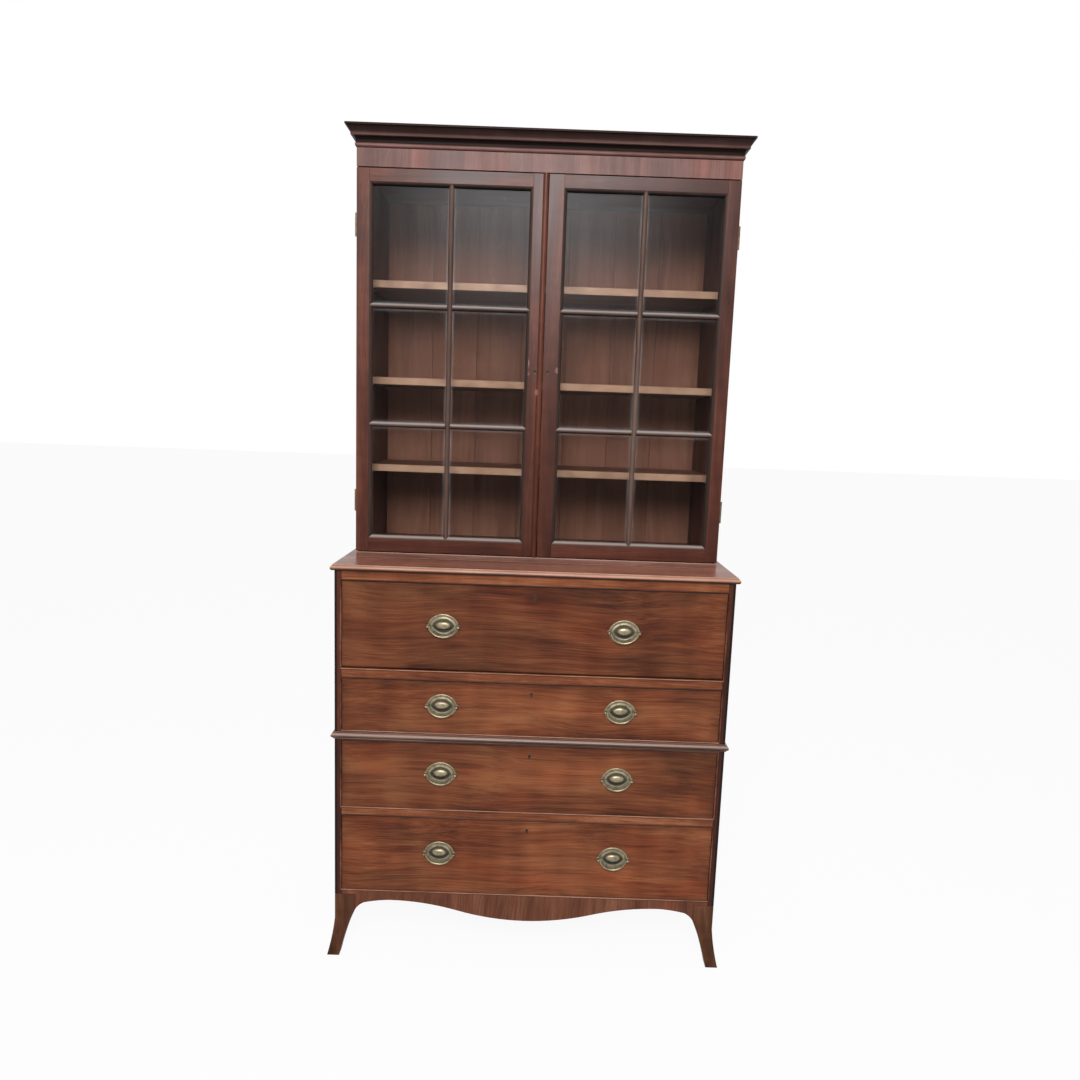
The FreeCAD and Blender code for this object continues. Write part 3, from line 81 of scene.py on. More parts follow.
class Nodes:
    """A node tree, with short names for the nodes that the materials share."""

    def __init__(self, tree):
        self.tree = tree
        tree.nodes.clear()

    def fill(self, node, values):
        """Inputs of a node set to values or linked to sockets."""
        for key, value in values.items():
            if isinstance(value, bpy.types.NodeSocket):
                self.tree.links.new(value, node.inputs[key])
            else:
                node.inputs[key].default_value = value

    def add(self, kind, values=None, **settings):
        """A shader node with its settings and its inputs."""
        node = self.tree.nodes.new("ShaderNode" + kind)
        for key, value in settings.items():
            setattr(node, key, value)
        self.fill(node, values or {})
        return node

    def math(self, operation, first, second=0.0, third=0.0, clamp=False):
        node = self.add("Math", {0: first, 1: second, 2: third}, operation=operation, use_clamp=clamp)
        return node.outputs[0]

    def plus(self, first, second):
        return self.math("ADD", first, second)

    def minus(self, first, second):
        return self.math("SUBTRACT", first, second)

    def times(self, first, second):
        return self.math("MULTIPLY", first, second)

    def vector(self, operation, first, second):
        return self.add("VectorMath", {0: first, 1: second}, operation=operation).outputs[0]

    def scaled(self, vector, factor):
        return self.add("VectorMath", {0: vector, "Scale": factor}, operation="SCALE").outputs[0]

    def share(self, value, start, end):
        """How far a value has come from start to end, from 0 to 1."""
        return self.add("MapRange", {"Value": value, "From Min": start, "From Max": end}).outputs[0]

    def blend(self, factor, low, high, mode="MIX"):
        """Two colours mixed by a factor."""
        mixed = self.add("Mix", {0: factor, 6: low, 7: high}, data_type="RGBA", blend_type=mode)
        return mixed.outputs[2]

    def multiply(self, colour, by, amount=1.0):
        """A colour multiplied by another."""
        return self.blend(amount, colour, by, "MULTIPLY")

    def ramp(self, factor, *stops):
        """A colour ramp with stops given as a place and a colour, or a number for a grey."""
        node = self.add("ValToRGB", {"Fac": factor})
        elements = node.color_ramp.elements
        while len(elements) < len(stops):
            elements.new(0.5)
        for element, (place, colour) in zip(elements, stops):
            element.position = place
            element.color = colour if isinstance(colour, tuple) else (colour, colour, colour, 1.0)
        return node.outputs["Color"]

    def noise(self, vector, stretch, detail=3.0, roughness=0.5, distortion=0.0):
        """Noise of about one feature for each unit of the stretched vector."""
        stretch = stretch if isinstance(stretch, tuple) else (stretch, stretch, stretch)
        node = self.add("TexNoise", {
            "Vector": self.vector("MULTIPLY", vector, stretch), "Scale": 1.0, "Detail": detail,
            "Roughness": roughness, "Distortion": distortion})
        return node.outputs["Fac"]

    def attribute(self, name, output="Fac"):
        return self.add("Attribute", attribute_name=name).outputs[output]

    def place(self):
        """Where a point lies, in the frame of its object."""
        return self.add("TexCoord").outputs["Object"]

    def axes(self, vector):
        """The X, Y and Z of a vector."""
        return self.add("SeparateXYZ", {"Vector": vector}).outputs

    def facing(self):
        """The X, Y and Z of the direction that a face looks in."""
        return self.axes(self.add("NewGeometry").outputs["Normal"])

    def relief(self, height, strength, distance, **settings):
        bump = self.add("Bump", {"Strength": strength, "Distance": distance, "Height": height}, **settings)
        return bump.outputs[0]

    def either(self, factor, first, second):
        """Two shaders mixed by a factor."""
        return self.add("MixShader", {0: factor, 1: first.outputs[0], 2: second.outputs[0]}).outputs[0]


def new_material(name):
    """A material with one Principled shader."""
    material = bpy.data.materials.new(name)
    material.use_nodes = True
    nodes = Nodes(material.node_tree)
    shader = nodes.add("BsdfPrincipled")
    output = nodes.add("OutputMaterial", {"Surface": shader.outputs[0]})
    return material, nodes, shader, output


# Finishes

# How many streaks, clouds and ripples there are to a metre along the grain and across it.
COMMON_FIGURE = {"band": (1.7, 34.0), "cloud": (2.3, 7.0), "wave": (30.0, 9.0)}
FRONT_FIGURE = {"band": (3.6, 74.0), "cloud": (2.6, 7.5), "wave": (13.0, 2.5)}


def wood(name, dark, middle, light, bands=0.9, clouds=0.7, fibres=0.45, ripple=0.2, gloss=0.16,
         rough=0.42, edge_colour=None, edge_share=0.45, seams=None, tint=None, figure=COMMON_FIGURE,
         sheen=WHITE):
    """Polished wood whose grain runs along the first axis of each board's own grain frame."""
    material, nodes, shader, _ = new_material(name)
    grain = nodes.attribute("grain", "Vector")
    wander = nodes.add("TexNoise", {"Vector": grain, "Scale": 2.4, "Detail": 1.0, "Roughness": 0.4})
    centred = nodes.vector("SUBTRACT", wander.outputs["Color"], (0.5, 0.5, 0.5))
    bent = nodes.vector("ADD", grain, nodes.vector("MULTIPLY", centred, (0.0, 0.06, 0.06)))

    stretch = {layer: (along, across, across) for layer, (along, across) in figure.items()}
    fibre = nodes.noise(bent, (7.0, 330.0, 330.0), detail=4.0, roughness=0.6)
    band = nodes.noise(bent, stretch["band"], detail=4.0, roughness=0.6, distortion=0.3)
    cloud = nodes.noise(bent, stretch["cloud"], detail=2.0, roughness=0.5, distortion=0.4)
    wave = nodes.noise(bent, stretch["wave"], detail=1.0)
    pore = nodes.noise(bent, (160.0, 2300.0, 2300.0), detail=1.0)

    level = nodes.math("MULTIPLY_ADD", fibre, fibres, nodes.times(band, bands))
    level = nodes.plus(level, nodes.times(cloud, clouds))
    level = nodes.plus(level, nodes.times(wave, ripple))
    level = nodes.minus(level, (fibres + bands + clouds + ripple) / 2 - 0.5)
    colour = nodes.ramp(level, (0.18, srgb(*dark)), (0.5, srgb(*middle)), (0.82, srgb(*light)))
    if seams:
        colour = veneer_seams(nodes, grain, colour, *seams)
    if tint:
        colour = tint(nodes, colour)
    open_pore = nodes.ramp(pore, (0.30, 0.72), (0.42, 1.0))
    colour = nodes.multiply(colour, open_pore, 0.8)
    if edge_colour:
        patchy = nodes.ramp(nodes.noise(grain, 18.0), (0.2, 0.35), (0.7, 1.0))
        amount = nodes.times(nodes.times(nodes.attribute("edge"), edge_share), patchy)
        colour = nodes.blend(amount, colour, srgb(*edge_colour))
    nodes.fill(shader, {
        "Base Color": nodes.scaled(colour, nodes.attribute("tone")),
        "Roughness": nodes.ramp(cloud, (0.3, rough - 0.07), (0.7, rough + 0.09)),
        "Specular IOR Level": gloss,
        "Specular Tint": sheen,
        "Normal": nodes.relief(nodes.plus(nodes.times(fibre, 0.5), open_pore), 0.25, 0.12 * MM)})
    return material


def veneer_seams(nodes, grain, colour, width, strength, red):
    """Crossbanding: sheets laid side by side, each of its own tone, with a fine line between."""
    wobble = nodes.noise(grain, (0.0, 1.0 / width * 0.35, 0.0), detail=0.0)
    place = nodes.plus(nodes.math("DIVIDE", nodes.axes(grain)["Y"], width), nodes.times(wobble, 1.6))
    sheet = nodes.add("TexWhiteNoise", {"W": nodes.math("FLOOR", place)}, noise_dimensions="1D")
    tones = nodes.ramp(sheet.outputs["Value"], (0.0, 1.0 - strength), (0.8, 1.0 + strength * 0.6),
                       (0.95, red))
    line = nodes.ramp(nodes.math("FRACT", place), (0.0, 0.72), (0.08, 1.0), (0.93, 1.0), (1.0, 0.78))
    return nodes.multiply(nodes.multiply(colour, tones), line, 0.6)


FRONTS_REACH = 0.52


def fronts_aged_and_shaded(nodes, colour):
    """Redder and browner veneer, darker to the left, with a stain at the right of the third front and
    painted shade along the rim.
    """
    place = nodes.place()
    hue = nodes.ramp(nodes.noise(place, (5.0, 5.0, 11.0), detail=2.0), (0.32, (1.06, 0.90, 0.82, 1.0)),
                     (0.5, (1.0, 0.98, 0.96, 1.0)), (0.68, (0.94, 1.02, 1.02, 1.0)))
    colour = nodes.multiply(colour, hue)
    axes = nodes.axes(place)
    slant = nodes.math("MULTIPLY_ADD", axes["Z"], 0.9, axes["X"])
    ragged = nodes.times(nodes.noise(place, (14.0, 14.0, 22.0)), 0.10)
    stain = nodes.ramp(nodes.plus(slant, ragged), (0.93, 1.0), (0.985, 0.62), (1.0, 0.66))
    third = nodes.ramp(axes["Z"], (0.425, 0.0), (0.45, 1.0), (0.63, 1.0), (0.645, 0.0))
    colour = nodes.blend(third, colour, nodes.multiply(colour, stain))
    across = nodes.share(axes["X"], -FRONTS_REACH, FRONTS_REACH)
    left = nodes.ramp(across, (0.0, 0.84), (0.3, 0.86), (0.5, 1.0))
    return shaded_rim(nodes, nodes.multiply(colour, left), place)


FRONT_WIDTH, FRONT_HEIGHT = 1.03, 0.19
RIM_RAGGED = 0.03
RIM_UNIT = 0.1  # what one on the ramp stands for


def shaded_rim(nodes, colour, place):
    """Painted shade along the rim of a drawer front, next to the beads."""
    share = nodes.axes(nodes.add("TexCoord").outputs["Generated"])
    reach = 1.0
    for axis, size in (("X", FRONT_WIDTH), ("Z", FRONT_HEIGHT)):
        near = nodes.math("MINIMUM", share[axis], nodes.minus(1.0, share[axis]))
        reach = nodes.math("MINIMUM", nodes.times(near, size), reach)
    ragged = nodes.times(nodes.noise(place, 22.0), RIM_RAGGED)
    # Painted shade: darker towards the rim, within about four centimetres of it.
    rim_shade = nodes.ramp(nodes.times(nodes.plus(reach, ragged), 1 / RIM_UNIT),
                      (0.1, 0.55), (0.2, 0.82), (0.42, 1.0))
    return nodes.multiply(colour, rim_shade)


# How far in from the side and from the front the painted shade of the outer corner starts and is full.
ARRIS_FROM_SIDE = (9 * MM, 5 * MM)
ARRIS_FROM_FRONT = (9 * MM, 2 * MM)


def shaded_arris(nodes, colour):
    """Painted shade: the outer corner of the case, black along the front of each side."""
    low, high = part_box("lower_chest_sides")
    axes = nodes.axes(nodes.place())
    outer = nodes.share(nodes.math("ABSOLUTE", axes["X"]), *(high.x - reach for reach in ARRIS_FROM_SIDE))
    front = nodes.share(axes["Y"], *(low.y + reach for reach in ARRIS_FROM_FRONT))
    return nodes.blend(nodes.times(outer, front), colour, srgb(24, 8, 6))


SCUFFS = (  # across, height, half width and half height of each rubbed patch near the locks, in metres
    (-0.050, 1.642, 0.020, 0.014), (-0.042, 1.668, 0.008, 0.020), (0.042, 1.652, 0.014, 0.012),
    (-0.015, 1.592, 0.006, 0.012))
SCUFF_DEPTH = 6 * MM


def scuffed(nodes, colour):
    """The polish rubbed through to pale wood near the locks of the doors."""
    place = nodes.place()
    axes = nodes.axes(place)
    ragged = nodes.noise(place, (300.0, 300.0, 190.0), detail=4.0, roughness=0.7)
    front = nodes.math("LESS_THAN", axes["Y"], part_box("left_door_frame")[0].y + SCUFF_DEPTH)
    worn = 0.0
    for x, z, wide, tall in SCUFFS:
        across = nodes.math("DIVIDE", nodes.minus(axes["X"], x), wide)
        along = nodes.math("DIVIDE", nodes.minus(axes["Z"], z), tall)
        reach = nodes.plus(nodes.times(across, across), nodes.times(along, along))
        worn = nodes.math("MAXIMUM", nodes.math("SUBTRACT", 1.0, reach, clamp=True), worn)
    worn = nodes.times(nodes.times(worn, ragged), front)
    return nodes.blend(nodes.ramp(worn, (0.2, 0.0), (0.42, 0.8)), colour, srgb(146, 102, 86))


def shaded_below(nodes, colour, upward, under):
    """A colour darkened where its face looks down."""
    slope = nodes.math("MULTIPLY_ADD", upward, 0.5, 0.5)
    return nodes.multiply(colour, nodes.ramp(slope, (0.2, under), (0.46, 1.0)))


def light_and_shade_by_slope(dull, pale, under):
    """A tint of painted light and shade: it pales the faces that look up with painted light, and darkens
    those that look down with painted shade.
    """
    def tint(nodes, colour):
        upward = nodes.facing()["Z"]
        # Painted light: the more a face looks up, the paler it is painted.
        lit_from_above = nodes.ramp(upward, (0.0, 0.12), (0.12, 0.35), (0.45, 1.0))
        tint_layer = nodes.blend(lit_from_above, srgb(*dull), srgb(*pale))
        return shaded_below(nodes, nodes.blend(nodes.times(lit_from_above, 0.85), colour, tint_layer), upward, under)
    return tint


def bead_light_and_shade(nodes, colour):
    """Beads with a painted highlight on top along the foot of a drawer, and painted shade along its head."""
    upward = nodes.facing()["Z"]
    head = nodes.attribute("hollow")
    patchy = nodes.ramp(nodes.noise(nodes.place(), 13.0), (0.3, 0.3), (0.62, 0.9))
    # Painted highlight on the faces that look up, broken into patches, and kept to the foot beads.
    lit_from_above = nodes.times(nodes.ramp(upward, (0.05, 0.0), (0.5, 1.0)), patchy)
    pale = nodes.times(lit_from_above, nodes.minus(1.0, head))
    colour = shaded_below(nodes, nodes.blend(pale, colour, srgb(182, 138, 116)), upward, 0.4)
    # Painted shade along the head of the opening.
    return nodes.multiply(colour, nodes.ramp(head, (0.5, 1.0), (1.0, 0.45)))


CORNICE_LIGHTEST = 5.2
CORNICE_LEVELS = (  # share of the cornice's height, and how light the wood is painted there, with painted light and shade
    (0.0, 0.2), (0.03, 1.6), (0.13, 5.2), (0.2, 2.6), (0.26, 0.1), (0.47, 0.06), (0.51, 2.2), (0.59, 1.7),
    (0.63, 0.9), (0.86, 0.5), (0.9, 0.06), (0.925, 0.5), (1.0, 0.3))


def cornice_light_and_shade(nodes, colour):
    """The cornice painted by height: a bead lighter like the frieze with a painted highlight along its
    middle, painted shadow in the cove, painted light on the fascia, and painted shade on the members above
    it.
    """
    low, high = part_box("cornice_moulding")
    height = nodes.share(nodes.axes(nodes.place())["Z"], low.z, high.z)
    level = nodes.ramp(height, *((place, light / CORNICE_LIGHTEST) for place, light in CORNICE_LEVELS))
    return nodes.multiply(colour, nodes.scaled(level, CORNICE_LIGHTEST))


def nosing_light_and_shade(nodes, colour):
    """The nosing of the desk top, with a painted highlight where it faces up and forward and painted shade
    on its underside.
    """
    facing = nodes.facing()
    forward = nodes.times(facing["Y"], -1.0)
    # Painted highlight where the nosing faces forward and up, in patches.
    rounded = nodes.times(nodes.ramp(forward, (0.15, 0.0), (0.5, 1.0)),
                          nodes.ramp(facing["Z"], (0.1, 0.0), (0.45, 1.0)))
    patchy = nodes.ramp(nodes.noise(nodes.place(), 9.0), (0.3, 0.5), (0.65, 1.0))
    pale = nodes.blend(nodes.times(rounded, patchy), colour, srgb(178, 138, 114))
    # Painted shade on the underside.
    under = nodes.ramp(nodes.times(facing["Z"], -1.0), (0.05, 0.0), (0.3, 1.0))
    return nodes.blend(under, pale, srgb(40, 18, 12))


def brass(name, bright, dull, hollow_colour, rough=0.4):
    """Old lacquered brass, dark in the hollows and rubbed bright where hands reach."""
    material, nodes, shader, _ = new_material(name)
    bright, dull, hollow_colour = ((*colour, 1.0) for colour in (bright, dull, hollow_colour))
    place = nodes.place()
    patches = nodes.noise(place, 90.0, detail=4.0, roughness=0.6)
    specks = nodes.noise(place, 900.0, detail=2.0)
    uneven = nodes.times(nodes.minus(patches, 0.5), 0.5)
    depth = nodes.math("ADD", nodes.attribute("hollow"), uneven, clamp=True)
    colour = nodes.blend(depth, nodes.ramp(patches, (0.35, dull), (0.62, bright)), hollow_colour)
    nodes.fill(shader, {
        "Base Color": nodes.multiply(colour, nodes.ramp(specks, (0.3, 0.6), (0.5, 1.0)), 0.5),
        "Metallic": nodes.ramp(depth, (0.2, 1.0), (0.9, 0.35)),
        "Roughness": nodes.ramp(depth, (0.0, rough), (1.0, 0.7)),
        "Normal": nodes.relief(specks, 0.3, 0.1 * MM)})
    return material


GRIME = 0.16  # how much of the glass is hidden at the edge of a pane


def old_glass(name):
    """Old glass with slow waves, a soft sheen, and a film of grime along the edges of each pane."""
    material, nodes, shader, output = new_material(name)
    place = nodes.place()
    edge = nodes.attribute("hollow")
    patchy = nodes.ramp(nodes.noise(place, 16.0), (0.3, 0.3), (0.65, 1.0))
    film = nodes.times(nodes.times(edge, edge), patchy)
    tint_layer = nodes.noise(place, 14.0)
    waves = nodes.noise(place, (9.0, 9.0, 5.0), detail=1.0)
    nodes.fill(shader, {
        "Base Color": nodes.ramp(tint_layer, (0.4, (0.93, 0.95, 0.965, 1.0)), (0.7, (0.905, 0.93, 0.95, 1.0))),
        "Transmission Weight": nodes.math("MULTIPLY_ADD", film, -GRIME, 1.0),
        "Roughness": 0.02,
        "IOR": 1.01,
        "Coat Weight": 1.0,
        "Coat Roughness": 0.22,
        "Coat IOR": 1.11,
        "Normal": nodes.relief(waves, 0.25, 2.0 * MM)})
    clear = nodes.add("BsdfTransparent", {"Color": (0.97, 0.98, 0.98, 1.0)})
    path = nodes.add("LightPath").outputs
    lamp_ray = nodes.math("MAXIMUM", path["Is Shadow Ray"], path["Is Diffuse Ray"])
    nodes.fill(output, {"Surface": nodes.either(lamp_ray, shader, clear)})
    return material


def tooled_leather(name):
    """Green hide, pebbled and rubbed paler where arms rest."""
    material, nodes, shader, _ = new_material(name)
    place = nodes.place()
    pebble = nodes.add("TexVoronoi", {"Vector": place, "Scale": 900.0}, feature="SMOOTH_F1").outputs[0]
    rubbed = nodes.noise(place, (7.0, 7.0, 9.0), detail=4.0)
    colour = nodes.ramp(rubbed, (0.3, srgb(36, 48, 36)), (0.55, srgb(54, 68, 49)), (0.8, srgb(96, 100, 70)))
    nodes.fill(shader, {
        "Base Color": nodes.multiply(colour, nodes.ramp(pebble, (0.0, 1.0), (0.8, 0.6)), 0.5),
        "Roughness": nodes.ramp(rubbed, (0.3, 0.62), (0.8, 0.45)),
        "Normal": nodes.relief(pebble, 0.35, 0.25 * MM, invert=True)})
    return material


FRONT = wood("figured_mahogany", (70, 31, 16), (112, 60, 35), (142, 86, 54), bands=0.75, clouds=1.1,
             fibres=0.8, ripple=0.35, edge_colour=(120, 74, 52), tint=fronts_aged_and_shaded, figure=FRONT_FIGURE)
RAIL = wood("rail_mahogany", (72, 31, 16), (120, 66, 39), (156, 100, 68), edge_colour=(150, 106, 82),
            fibres=0.8, bands=0.9)
CARCASE = wood("case_mahogany", (34, 14, 8), (66, 29, 16), (94, 48, 30), edge_colour=(30, 10, 7),
               clouds=0.5, tint=shaded_arris)
FOOT = wood("foot_mahogany", (46, 25, 15), (82, 49, 32), (112, 74, 53), edge_colour=(28, 14, 8), gloss=0.1)
DOOR = wood("door_mahogany", (42, 16, 9), (72, 33, 21), (104, 56, 39), bands=0.8, clouds=0.8,
            edge_colour=(82, 48, 36), rough=0.34, gloss=0.2, tint=scuffed)
# The glazing bars and the ovolo take painted light on their upper faces and painted shade on their lower
# ones.
BAR = wood("dusty_glazing_bars", (48, 28, 20), (78, 54, 44), (108, 86, 76), clouds=0.5, rough=0.45,
           tint=light_and_shade_by_slope((100, 86, 80), (150, 140, 136), 0.2))
OVOLO = wood("ovolo_light_and_shade", (22, 11, 8), (42, 25, 19), (66, 44, 36), clouds=0.5, rough=0.45, gloss=0.1,
             tint=light_and_shade_by_slope((100, 82, 74), (152, 138, 130), 0.12))
CROSSBAND = wood("crossbanded_frieze", (76, 46, 39), (106, 71, 64), (136, 101, 96), bands=0.6, clouds=1.1,
                 fibres=0.35, ripple=0.2, gloss=0.2, seams=(0.046, 0.16, (1.12, 0.97, 0.9, 1.0)))
APRON = wood("crossbanded_apron", (64, 32, 20), (98, 56, 38), (128, 84, 64), bands=0.8, clouds=0.3,
             fibres=0.7, ripple=0.1, edge_colour=(40, 18, 10), seams=(0.034, 0.16, (1.12, 1.0, 0.92, 1.0)))
CORNICE = wood("dark_cornice", (32, 20, 18), (50, 33, 30), (68, 49, 46), bands=0.6, clouds=0.3,
               gloss=0.09, rough=0.4, tint=cornice_light_and_shade, sheen=(1.0, 0.72, 0.64, 1.0))
DESK = wood("desk_top_mahogany", (92, 46, 33), (136, 84, 66), (164, 114, 94), gloss=0.3, rough=0.34,
            tint=nosing_light_and_shade)
FOOT_MOULD = wood("foot_moulding_mahogany", (78, 46, 36), (112, 74, 62), (142, 102, 88),
                  edge_colour=(168, 130, 114), edge_share=0.8, gloss=0.3, rough=0.32)
BEAD = wood("bead_mahogany", (60, 30, 20), (98, 56, 40), (134, 86, 66), clouds=1.2, tint=bead_light_and_shade)
# The waist moulding takes painted light on its upper faces and painted shade on its lower ones.
WAIST = wood("waist_mahogany", (48, 28, 20), (82, 54, 43), (126, 98, 84), edge_colour=(132, 104, 92),
             gloss=0.24, rough=0.34, tint=light_and_shade_by_slope((108, 82, 70), (158, 132, 120), 0.2))
SHELF = wood("shelf_wood", (60, 34, 22), (88, 54, 38), (112, 74, 54), edge_colour=(170, 132, 106),
             edge_share=1.0, rough=0.5)
BACKBOARD = wood("back_boards", (88, 52, 38), (116, 74, 56), (138, 96, 76), bands=0.7, clouds=0.35,
                 edge_colour=(80, 46, 34), edge_share=1.4, rough=0.6)
LINING = wood("drawer_oak", (130, 92, 56), (162, 124, 82), (188, 152, 110), fibres=0.8, bands=0.6,
              clouds=0.3, rough=0.62, edge_colour=(120, 86, 56))
INTERIOR = wood("interior_mahogany", (94, 46, 26), (134, 76, 46), (166, 106, 72),
                edge_colour=(176, 126, 90), rough=0.4)
BRASS = brass("aged_brass", (0.39, 0.33, 0.215), (0.19, 0.155, 0.10), (0.012, 0.011, 0.006))
DARK_BRASS = brass("dull_brass", (0.22, 0.17, 0.10), (0.10, 0.075, 0.04), (0.03, 0.02, 0.01), rough=0.5)
GLASS = old_glass("old_glass")
LEATHER = tooled_leather("green_leather")
GILT = brass("gilt_tooling", (0.85, 0.62, 0.25), (0.6, 0.42, 0.16), (0.2, 0.14, 0.05))


# Meshes

def solids_of(node):
    """The separate solids of a CAD node, each as a closed bmesh."""
    mesh = frame["nodes"][node].data
    keys = [tuple(round(value * 1e6) for value in vertex.co) for vertex in mesh.vertices]
    faces_at = {}
    for face in mesh.polygons:
        corners = [keys[v] for v in face.vertices]
        for first, second in zip(corners, corners[1:] + corners[:1]):
            faces_at.setdefault((min(first, second), max(first, second)), []).append(face.index)
    leader = list(range(len(mesh.polygons)))

    def lead(index):
        while leader[index] != index:
            leader[index] = leader[leader[index]]
            index = leader[index]
        return index

    for faces in faces_at.values():
        for first, second in zip(faces[0::2], faces[1::2]):
            leader[lead(first)] = lead(second)
    groups = {}
    for face in mesh.polygons:
        groups.setdefault(lead(face.index), []).append(face)
    solids = []
    for faces in groups.values():
        if len(faces) < 4:
            continue
        solid = bmesh.new()
        made = {}
        for face in faces:
            corners = [keys[v] for v in face.vertices]
            if len(set(corners)) < 3:
                continue
            for index, corner in zip(face.vertices, corners):
                if corner not in made:
                    made[corner] = solid.verts.new(mesh.vertices[index].co)
            try:
                solid.faces.new([made[corner] for corner in corners])
            except ValueError:
                continue
        solids.append(solid)
    return solids


def box_round(points):
    """The lowest and highest corner round some points."""
    return [Vector([pick(point[axis] for point in points) for axis in range(3)]) for pick in (min, max)]


def box_of(solid):
    """The lowest and highest corner of a bmesh."""
    return box_round([vertex.co for vertex in solid.verts])


def boxes_of(node):
    """The lowest and highest corner of each solid of a CAD node."""
    boxes = []
    for solid in solids_of(node):
        boxes.append(box_of(solid))
        solid.free()
    return boxes


def grain_axes(low, high, along):
    """The axes of a board: along its grain, across it and through it."""
    size = high - low
    first = "xyz".index(along) if along else max(range(3), key=lambda axis: size[axis])
    others = sorted((axis for axis in range(3) if axis != first), key=lambda axis: -size[axis])
    return first, others[0], others[1]


def turn_outward(mesh):
    """All faces of a mesh turned to look out of it."""
    turned = bmesh.new()
    turned.from_mesh(mesh)
    bmesh.ops.recalc_face_normals(turned, faces=turned.faces[:])
    turned.to_mesh(mesh)
    turned.free()


class Mesh:
    """Gathers solids into one mesh with the grain, tone, edge and hollow of each."""

    def __init__(self):
        self.places, self.faces, self.mitres = [], [], set()
        self.grain, self.tone, self.hollow, self.edge = [], [], [], []

    def add_points(self, points, seed, along):
        """The points of one solid with their grain. Returns its first index and its random draw."""
        start = len(self.places)
        axes = grain_axes(*box_round(points), along)
        draw = random.Random(seed)
        shift = [draw.uniform(-20, 20) for _ in range(3)]
        for point in points:
            self.places.append(tuple(point))
            self.grain.append([point[axis] + move for axis, move in zip(axes, shift)])
        return start, draw

    def add_solid(self, solid, seed, along, edge_faces, tone_spread, tone):
        solid.verts.index_update()
        start, draw = self.add_points([vertex.co for vertex in solid.verts], seed, along)
        tone *= 1 + draw.uniform(-tone_spread, tone_spread)
        self.tone += [tone] * len(solid.verts)
        self.hollow += [0.0] * len(solid.verts)
        marked = set(edge_faces)
        for face in solid.faces:
            self.faces.append([start + vertex.index for vertex in face.verts])
            self.edge.append(1.0 if face in marked else 0.0)

    def add_grid(self, rows, seed, hollow=None, cap_ends=False, loop_rows=False, along=None, mitred=False):
        """Closed rows of points joined into a skin. loop_rows joins the last row to the first.

        hollow has a number for each row, or one for each point of a row. mitred keeps the edges
        that run from row to row sharp, as at the corners of a frame.
        """
        points = [point for row in rows for point in row]
        start, _ = self.add_points(points, seed, along)
        self.tone += [1.0] * len(points)
        for index, row in enumerate(rows):
            depth = hollow[index] if hollow else 0.0
            self.hollow += depth if isinstance(depth, list) else [depth] * len(row)
        count = len(rows[0])
        for row in range(len(rows) if loop_rows else len(rows) - 1):
            below, above = start + row * count, start + (row + 1) % len(rows) * count
            for step in range(count):
                after = (step + 1) % count
                self.faces.append([below + step, below + after, above + after, above + step])
                if mitred:
                    self.mitres.add((min(below, above) + step, max(below, above) + step))
        if cap_ends:
            self.faces.append([start + step for step in reversed(range(count))])
            self.faces.append([start + (len(rows) - 1) * count + step for step in range(count)])
        self.edge += [0.0] * (len(self.faces) - len(self.edge))

    def piece(self, name, material, body, slot, replaces=(), smooth=True):
        """The mesh as a piece of the scene that rides on a body."""
        mesh = bpy.data.meshes.new(name)
        mesh.from_pydata(self.places, [], self.faces)
        turn_outward(mesh)
        grain = [part for value in self.grain for part in value]
        for label, kind, domain, values, field in (
                ("grain", "FLOAT_VECTOR", "POINT", grain, "vector"),
                ("tone", "FLOAT", "POINT", self.tone, "value"),
                ("hollow", "FLOAT", "POINT", self.hollow, "value"),
                ("edge", "FLOAT", "FACE", self.edge, "value")):
            mesh.attributes.new(label, kind, domain).data.foreach_set(field, values)
        mesh.validate()
        mesh.update()
        piece = new_object(name, mesh)
        mesh.materials.append(material)
        if smooth:
            mesh.polygons.foreach_set("use_smooth", [True] * len(mesh.polygons))
            mesh.set_sharp_from_angle(angle=SMOOTH_ANGLE)
            for edge in mesh.edges if self.mitres else ():
                if tuple(sorted(edge.vertices)) in self.mitres:
                    edge.use_edge_sharp = True
            piece.modifiers.new("face_weighted_normals", "WEIGHTED_NORMAL").keep_sharp = True
        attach(piece, body)
        if replaces:
            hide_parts(*replaces)


def new_object(name, data):
    """An object that is in the scene."""
    made = bpy.data.objects.new(name, data)
    bpy.context.scene.collection.objects.link(made)
    return made


def body_named(node):
    """The body that a CAD node rides on."""
    return frame["nodes"][node]["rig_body"]


def ease(solid, width):
    """Flat faces made whole, and sharp edges rounded by a small width. Returns the rounded faces."""
    bmesh.ops.dissolve_limit(solid, angle_limit=math.radians(0.6), verts=solid.verts[:],
                             edges=solid.edges[:], delimit={"NORMAL"})
    low, high = box_of(solid)
    width = min(width, min(high - low) * 0.22)
    sharp = [edge for edge in solid.edges
             if len(edge.link_faces) == 2 and edge.calc_face_angle(0) > SQUARE_ANGLE]
    if not sharp or width <= 0:
        return []
    result = bmesh.ops.bevel(solid, geom=sharp, offset=width, segments=2, profile=0.5,
                             affect="EDGES", clamp_overlap=True)
    return [face for face in result["faces"] if face.is_valid]


def dress(node, material, slot="mahogany", along=None, width=0.8 * MM, extra_edge=None, name=None,
          keep=None, replaces=True, tone_spread=0.07, tone=1.0):
    """A piece that stands for a CAD node, with eased edges and a grain of its own for each board."""
    gathered = Mesh()
    for number, solid in enumerate(solids_of(node)):
        if keep is None or keep(*box_of(solid)):
            edge_faces = ease(solid, width) if width else []
            if extra_edge:
                edge_faces += [face for face in solid.faces if extra_edge(face)]
            gathered.add_solid(solid, f"{node}{number}", along, edge_faces, tone_spread, tone)
        solid.free()
    gathered.piece(name or f"{node}_finished", material, body_named(node), slot, (node,) if replaces else ())


